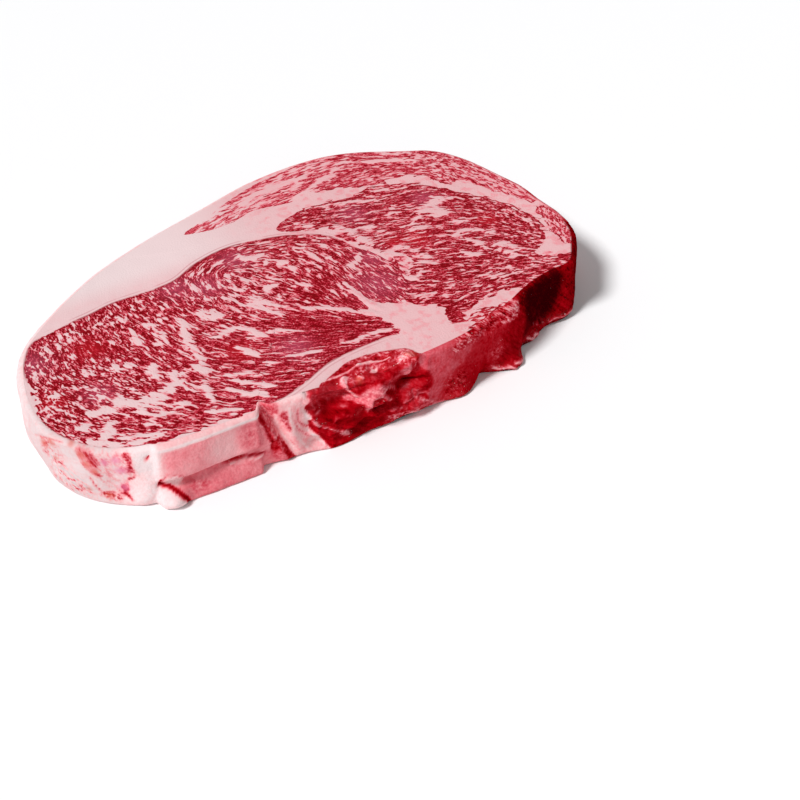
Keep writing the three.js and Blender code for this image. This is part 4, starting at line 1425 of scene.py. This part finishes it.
def marbled_cut(streaks, flesh):
    """The cut faces: lean meat with fat in streaks along the grain, in rivers and in pools."""
    material = bpy.data.materials.new("marbled_cut_face")
    tree = new_tree(material)
    straight = position_mm(tree)
    grain = stored(tree, "grain", "Vector")
    bias = stored(tree, "fat")
    depth = stored(tree, "depth")
    warp = add(tree, "ShaderNodeTexNoise", {"noise_dimensions": "3D"}, Vector=straight, Scale=0.22)
    shift = vector_calc(tree, "SUBTRACT", warp.outputs["Color"], (0.5, 0.5, 0.5))
    place = vector_calc(tree, "MULTIPLY_ADD", shift, (2.6, 2.6, 2.6), straight)
    coarse, medium, fine = (
        streak(tree, streaks, kind, place, grain) for kind in ("coarse", "medium", "fine")
    )
    hair = streak(tree, streaks, "hair", straight, grain)
    grit = calc(tree, "SUBTRACT", noise_value(tree, straight, 1.6, 2.0), 0.5)

    # How fatty each place is, above 0 for fat and below it for meat, with thin veins
    pattern = calc(tree, "MULTIPLY", coarse, MARBLING["coarse"])
    pattern = calc(tree, "MULTIPLY_ADD", medium, MARBLING["medium"], pattern)
    pattern = calc(tree, "MULTIPLY_ADD", fine, MARBLING["fine"], pattern)
    level = calc(tree, "ADD", pattern, bias)
    vein = calc(tree, "ABSOLUTE", calc(tree, "MULTIPLY_ADD", fine, 0.15, coarse))
    vein = ramp_value(tree, vein, 0.014, 0.003)
    level = calc(tree, "MULTIPLY_ADD", vein, 0.8, level)

    # The muscles' borders, ragged apart from the seams of the eye, and the fat between the muscles
    seam = stored(tree, "seam")
    ragged = calc(tree, "MULTIPLY_ADD", coarse, 9.0, depth)
    ragged = calc(tree, "MULTIPLY", ragged, opposite(tree, seam))
    ragged = calc(tree, "MULTIPLY_ADD", seam, depth, ragged)
    border = ramp_value(tree, calc(tree, "MULTIPLY_ADD", medium, 3.0, ragged), -0.35, 0.2)
    outer = calc(tree, "MULTIPLY_ADD", medium, 9.0, stored(tree, "outer_fat"))
    level = calc(tree, "MULTIPLY_ADD", border, calc(tree, "SUBTRACT", level, outer), outer)

    # Tone of the lean and of the fat, which has creases between the muscles
    texture = calc(tree, "MULTIPLY_ADD", hair, 1.6, calc(tree, "MULTIPLY_ADD", fine, 1.6, grit))
    lean = calc(tree, "MULTIPLY_ADD", level, 0.1, 0.33)
    lean = calc(tree, "MULTIPLY_ADD", texture, 1.3, lean)
    fatty = calc(tree, "MULTIPLY_ADD", texture, 0.1, ramp_value(tree, level, 0.1, 1.4, 0.78, 0.98))
    cream_share = stored(tree, "cream")
    gap = calc(tree, "MULTIPLY", opposite(tree, border), opposite(tree, cream_share))
    crease = ramp_value(tree, noise_value(tree, straight, 0.3, 2.0), 0.45, 0.65)
    crease = calc(tree, "MULTIPLY_ADD", vein, 0.4, crease)
    fatty = calc(tree, "MULTIPLY_ADD", calc(tree, "MULTIPLY", crease, gap), -0.22, fatty)
    share = ramp_value(tree, level, -0.4, 0.5)
    tone = calc(tree, "MULTIPLY_ADD", share, calc(tree, "SUBTRACT", fatty, lean), lean)
    pale = calc(tree, "MULTIPLY", stored(tree, "pale"), 0.42)
    tone = calc(tree, "MULTIPLY_ADD", pale, calc(tree, "SUBTRACT", 0.68, tone), tone)
    colour = colour_ramp(tree, tone, CUT_COLOURS)

    # Tints of the meat and of the fat
    meat = opposite(tree, share)
    for name, (strength, tint) in MEAT_TINTS.items():
        amount = calc(tree, "MULTIPLY", stored(tree, name), strength)
        amount = calc(tree, "MULTIPLY", amount, meat)
        colour = mix_colour(tree, amount, colour, rgb(tint))
    cream = calc(tree, "MULTIPLY", ramp_value(tree, level, 0.2, 1.2), cream_share)
    colour = mix_colour(tree, cream, colour, rgb(CREAM_FAT))

    # The eye's own skin: a dark edge, and a softer line just outside it
    eye = stored(tree, "eye")
    patchy = ramp_value(tree, noise_value(tree, straight, 0.09, 1.0), 0.3, 0.5)
    seam = calc(tree, "MULTIPLY", seam, patchy)
    edge = ramp_value(tree, calc(tree, "ABSOLUTE", eye), 0.6, 0.15, 0.0, 0.75)
    colour = mix_colour(tree, calc(tree, "MULTIPLY", edge, seam), colour, rgb(SEAM_EDGE))
    skin_line = calc(tree, "ABSOLUTE", calc(tree, "ADD", eye, 1.5))
    skin_line = ramp_value(tree, skin_line, 0.4, 0.05, 0.0, 0.45)
    colour = mix_colour(tree, calc(tree, "MULTIPLY", skin_line, seam), colour, rgb(SEAM_SKIN))

    # The torn muscle, where it comes over the rim
    torn = stored(tree, "torn")
    torn_colour, _, wet = place_flesh(tree, flesh, straight)
    colour = mix_colour(tree, torn, colour, torn_colour)
    rough = ramp_value(tree, level, -0.5, 0.8, 0.4, 0.5)
    height = calc(tree, "MULTIPLY_ADD", torn, noise_value(tree, straight, 0.6, 2.0), grit)
    wet = calc(tree, "MULTIPLY", wet, torn)
    finish_material(tree, colour, rough, height, bump=0.35, distance=0.0004, wet=wet)
    return material


def flesh_group(streaks):
    """Colour, height and wetness of the outside: cream fat, pink membrane and torn crimson meat, with
    painted shade and pale flecks that are partly painted glints.
    """
    group, given, result = new_group(
        "Flesh",
        [(name, "NodeSocketVector") for name in ("Position", *FLESH_PLACES)]
        + [(name, "NodeSocketFloat") for name in FLESH_VALUES],
        [("Colour", "NodeSocketColor"), ("Height", "NodeSocketFloat"), ("Wet", "NodeSocketFloat")],
    )
    socket = given.outputs
    place = socket["Position"]
    mottle = calc(group, "SUBTRACT", noise_value(group, place, 0.3, 2.0), 0.5)
    vein = calc(group, "SUBTRACT", noise_value(group, place, 1.1, 1.0), 0.5)
    blotches = calc(group, "MULTIPLY_ADD", mottle, 1.1, calc(group, "MULTIPLY", vein, 0.9))
    level = calc(group, "MULTIPLY_ADD", blotches, socket["Mottle"], socket["Redness"])
    long_fibres, short_fibres = (
        streak(group, streaks, kind, socket["Skin place"], socket["Fibre"])
        for kind in ("long fibres", "short fibres")
    )
    fibres = calc(group, "MULTIPLY_ADD", long_fibres, 1.7, calc(group, "MULTIPLY", short_fibres, 1.5))
    fibres = calc(group, "MULTIPLY", fibres, socket["Tearing"])
    level = calc(group, "ADD", fibres, level)
    colour = colour_ramp(group, level, SIDE_COLOURS)
    for name, (strength, tint) in SIDE_TINTS.items():
        amount = calc(group, "MULTIPLY", socket[name], strength)
        colour = mix_colour(group, amount, colour, rgb(tint))
    # Painted shade, lighter on the crests of the fibres
    dark = calc(group, "MULTIPLY", fibres, socket["Painted shade"])
    dark = calc(group, "MULTIPLY_ADD", dark, -1.2, socket["Painted shade"])
    colour = mix_colour(group, ramp_value(group, dark, 0.0, 1.0), colour, rgb(PAINTED_SHADE_COLOUR))
    # Pale flecks, more at wet places: partly fat, partly painted glints
    fleck = calc(group, "MULTIPLY_ADD", socket["Wetness"], 0.26, noise_value(group, place, 1.2, 1.0))
    fleck = ramp_value(group, fleck, 0.76, 0.9)
    colour = mix_colour(group, calc(group, "MULTIPLY", fleck, 0.7), colour, rgb(PALE_FLECK_AND_GLINT))
    height = calc(group, "ADD", fibres, calc(group, "MULTIPLY", vein, 0.8))
    wet = ramp_value(group, noise_value(group, place, 0.8, 2.0), 0.45, 0.6)
    wet = calc(group, "MULTIPLY", wet, socket["Wetness"])
    for number, value in enumerate((colour, height, wet)):
        group.links.new(value, result.inputs[number])
    return group


def place_flesh(tree, flesh, place):
    """The outside's colour, height and wetness, from what the mesh stores at each point."""
    node = tree.nodes.new("ShaderNodeGroup")
    node.node_tree = flesh
    tree.links.new(place, node.inputs["Position"])
    for names, output in ((FLESH_PLACES, "Vector"), (FLESH_VALUES, "Fac")):
        for name, stored_name in names.items():
            tree.links.new(stored(tree, stored_name, output), node.inputs[name])
    return node.outputs


def outer_side(flesh):
    """The outside of the steak: cream fat, pink membrane and crimson torn meat, with painted shade in
    its hollows and over the narrow end.
    """
    material = bpy.data.materials.new("outer_side")
    tree = new_tree(material)
    colour, height, wet = place_flesh(tree, flesh, position_mm(tree))
    finish_material(tree, colour, 0.4, height, bump=0.4, distance=0.0005, gloss=0.0, wet=wet)
    return material


def plain_material(name, colour, rough):
    """One colour, with the faintest unevenness."""
    material = bpy.data.materials.new(name)
    tree = new_tree(material)
    height = noise_value(tree, position_mm(tree), 0.5)
    finish_material(tree, colour, rough, height, bump=0.02)
    return material


def floor():
    bpy.ops.object.select_all(action="DESELECT")
    bpy.ops.mesh.primitive_plane_add(size=FLOOR_SIZE)
    plane = bpy.context.object
    plane.name = "floor"
    plane.data.materials.append(plain_material("pale_floor", rgb(PALE_FLOOR), 0.7))


def add_lamp(light, towards, place=(0, 0, 0)):
    """Puts a light in the scene, shining towards this direction."""
    lamp = bpy.data.objects.new(light.name, light)
    lamp.location = place
    lamp.rotation_euler = Vector(towards).to_track_quat("-Z", "Y").to_euler()
    bpy.context.scene.collection.objects.link(lamp)


def lights():
    world = bpy.data.worlds.new("studio")
    world.use_nodes = True
    background = world.node_tree.nodes["Background"]
    background.inputs["Color"].default_value = (1, 1, 1, 1)
    background.inputs["Strength"].default_value = SURROUNDINGS
    bpy.context.scene.world = world
    sun = bpy.data.lights.new("key", "SUN")
    sun.energy = SUN["power"]
    sun.angle = math.radians(SUN["breadth"])
    add_lamp(sun, SUN["towards"])
    fill = bpy.data.lights.new("fill", "AREA")
    fill.shape = "SQUARE"
    fill.size = FILL["size"]
    fill.energy = FILL["power"]
    add_lamp(fill, Vector(FILL["aim"]) - Vector(FILL["place"]), FILL["place"])


def camera(middle):
    """The photograph's view, from the chine side towards the broad end."""
    azimuth, elevation = math.radians(VIEW["round"]), math.radians(VIEW["up"])
    aim = (Vector((*VIEW["aim"], THICKNESS)) - Vector(middle)) * MM
    back = Vector((
        math.sin(azimuth) * math.cos(elevation),
        -math.cos(azimuth) * math.cos(elevation),
        math.sin(elevation),
    ))
    data = bpy.data.cameras.new("view")
    data.sensor_width = VIEW["sensor"]
    data.lens = VIEW["lens"]
    data.clip_start = 0.01
    eye = bpy.data.objects.new("view", data)
    eye.location = aim + back * VIEW["distance"]
    eye.rotation_euler = (-back).to_track_quat("-Z", "Y").to_euler()
    bpy.context.scene.collection.objects.link(eye)
    bpy.context.scene.camera = eye


streaks = grain_streaks_group()
skin, middle = steak_skin()
flesh = flesh_group(streaks)
skin.data.materials.append(marbled_cut(streaks, flesh))
skin.data.materials.append(outer_side(flesh))
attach(skin, "root")
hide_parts("steak")
floor()
lights()
camera(middle)
bpy.context.scene.view_settings.view_transform = "Standard"
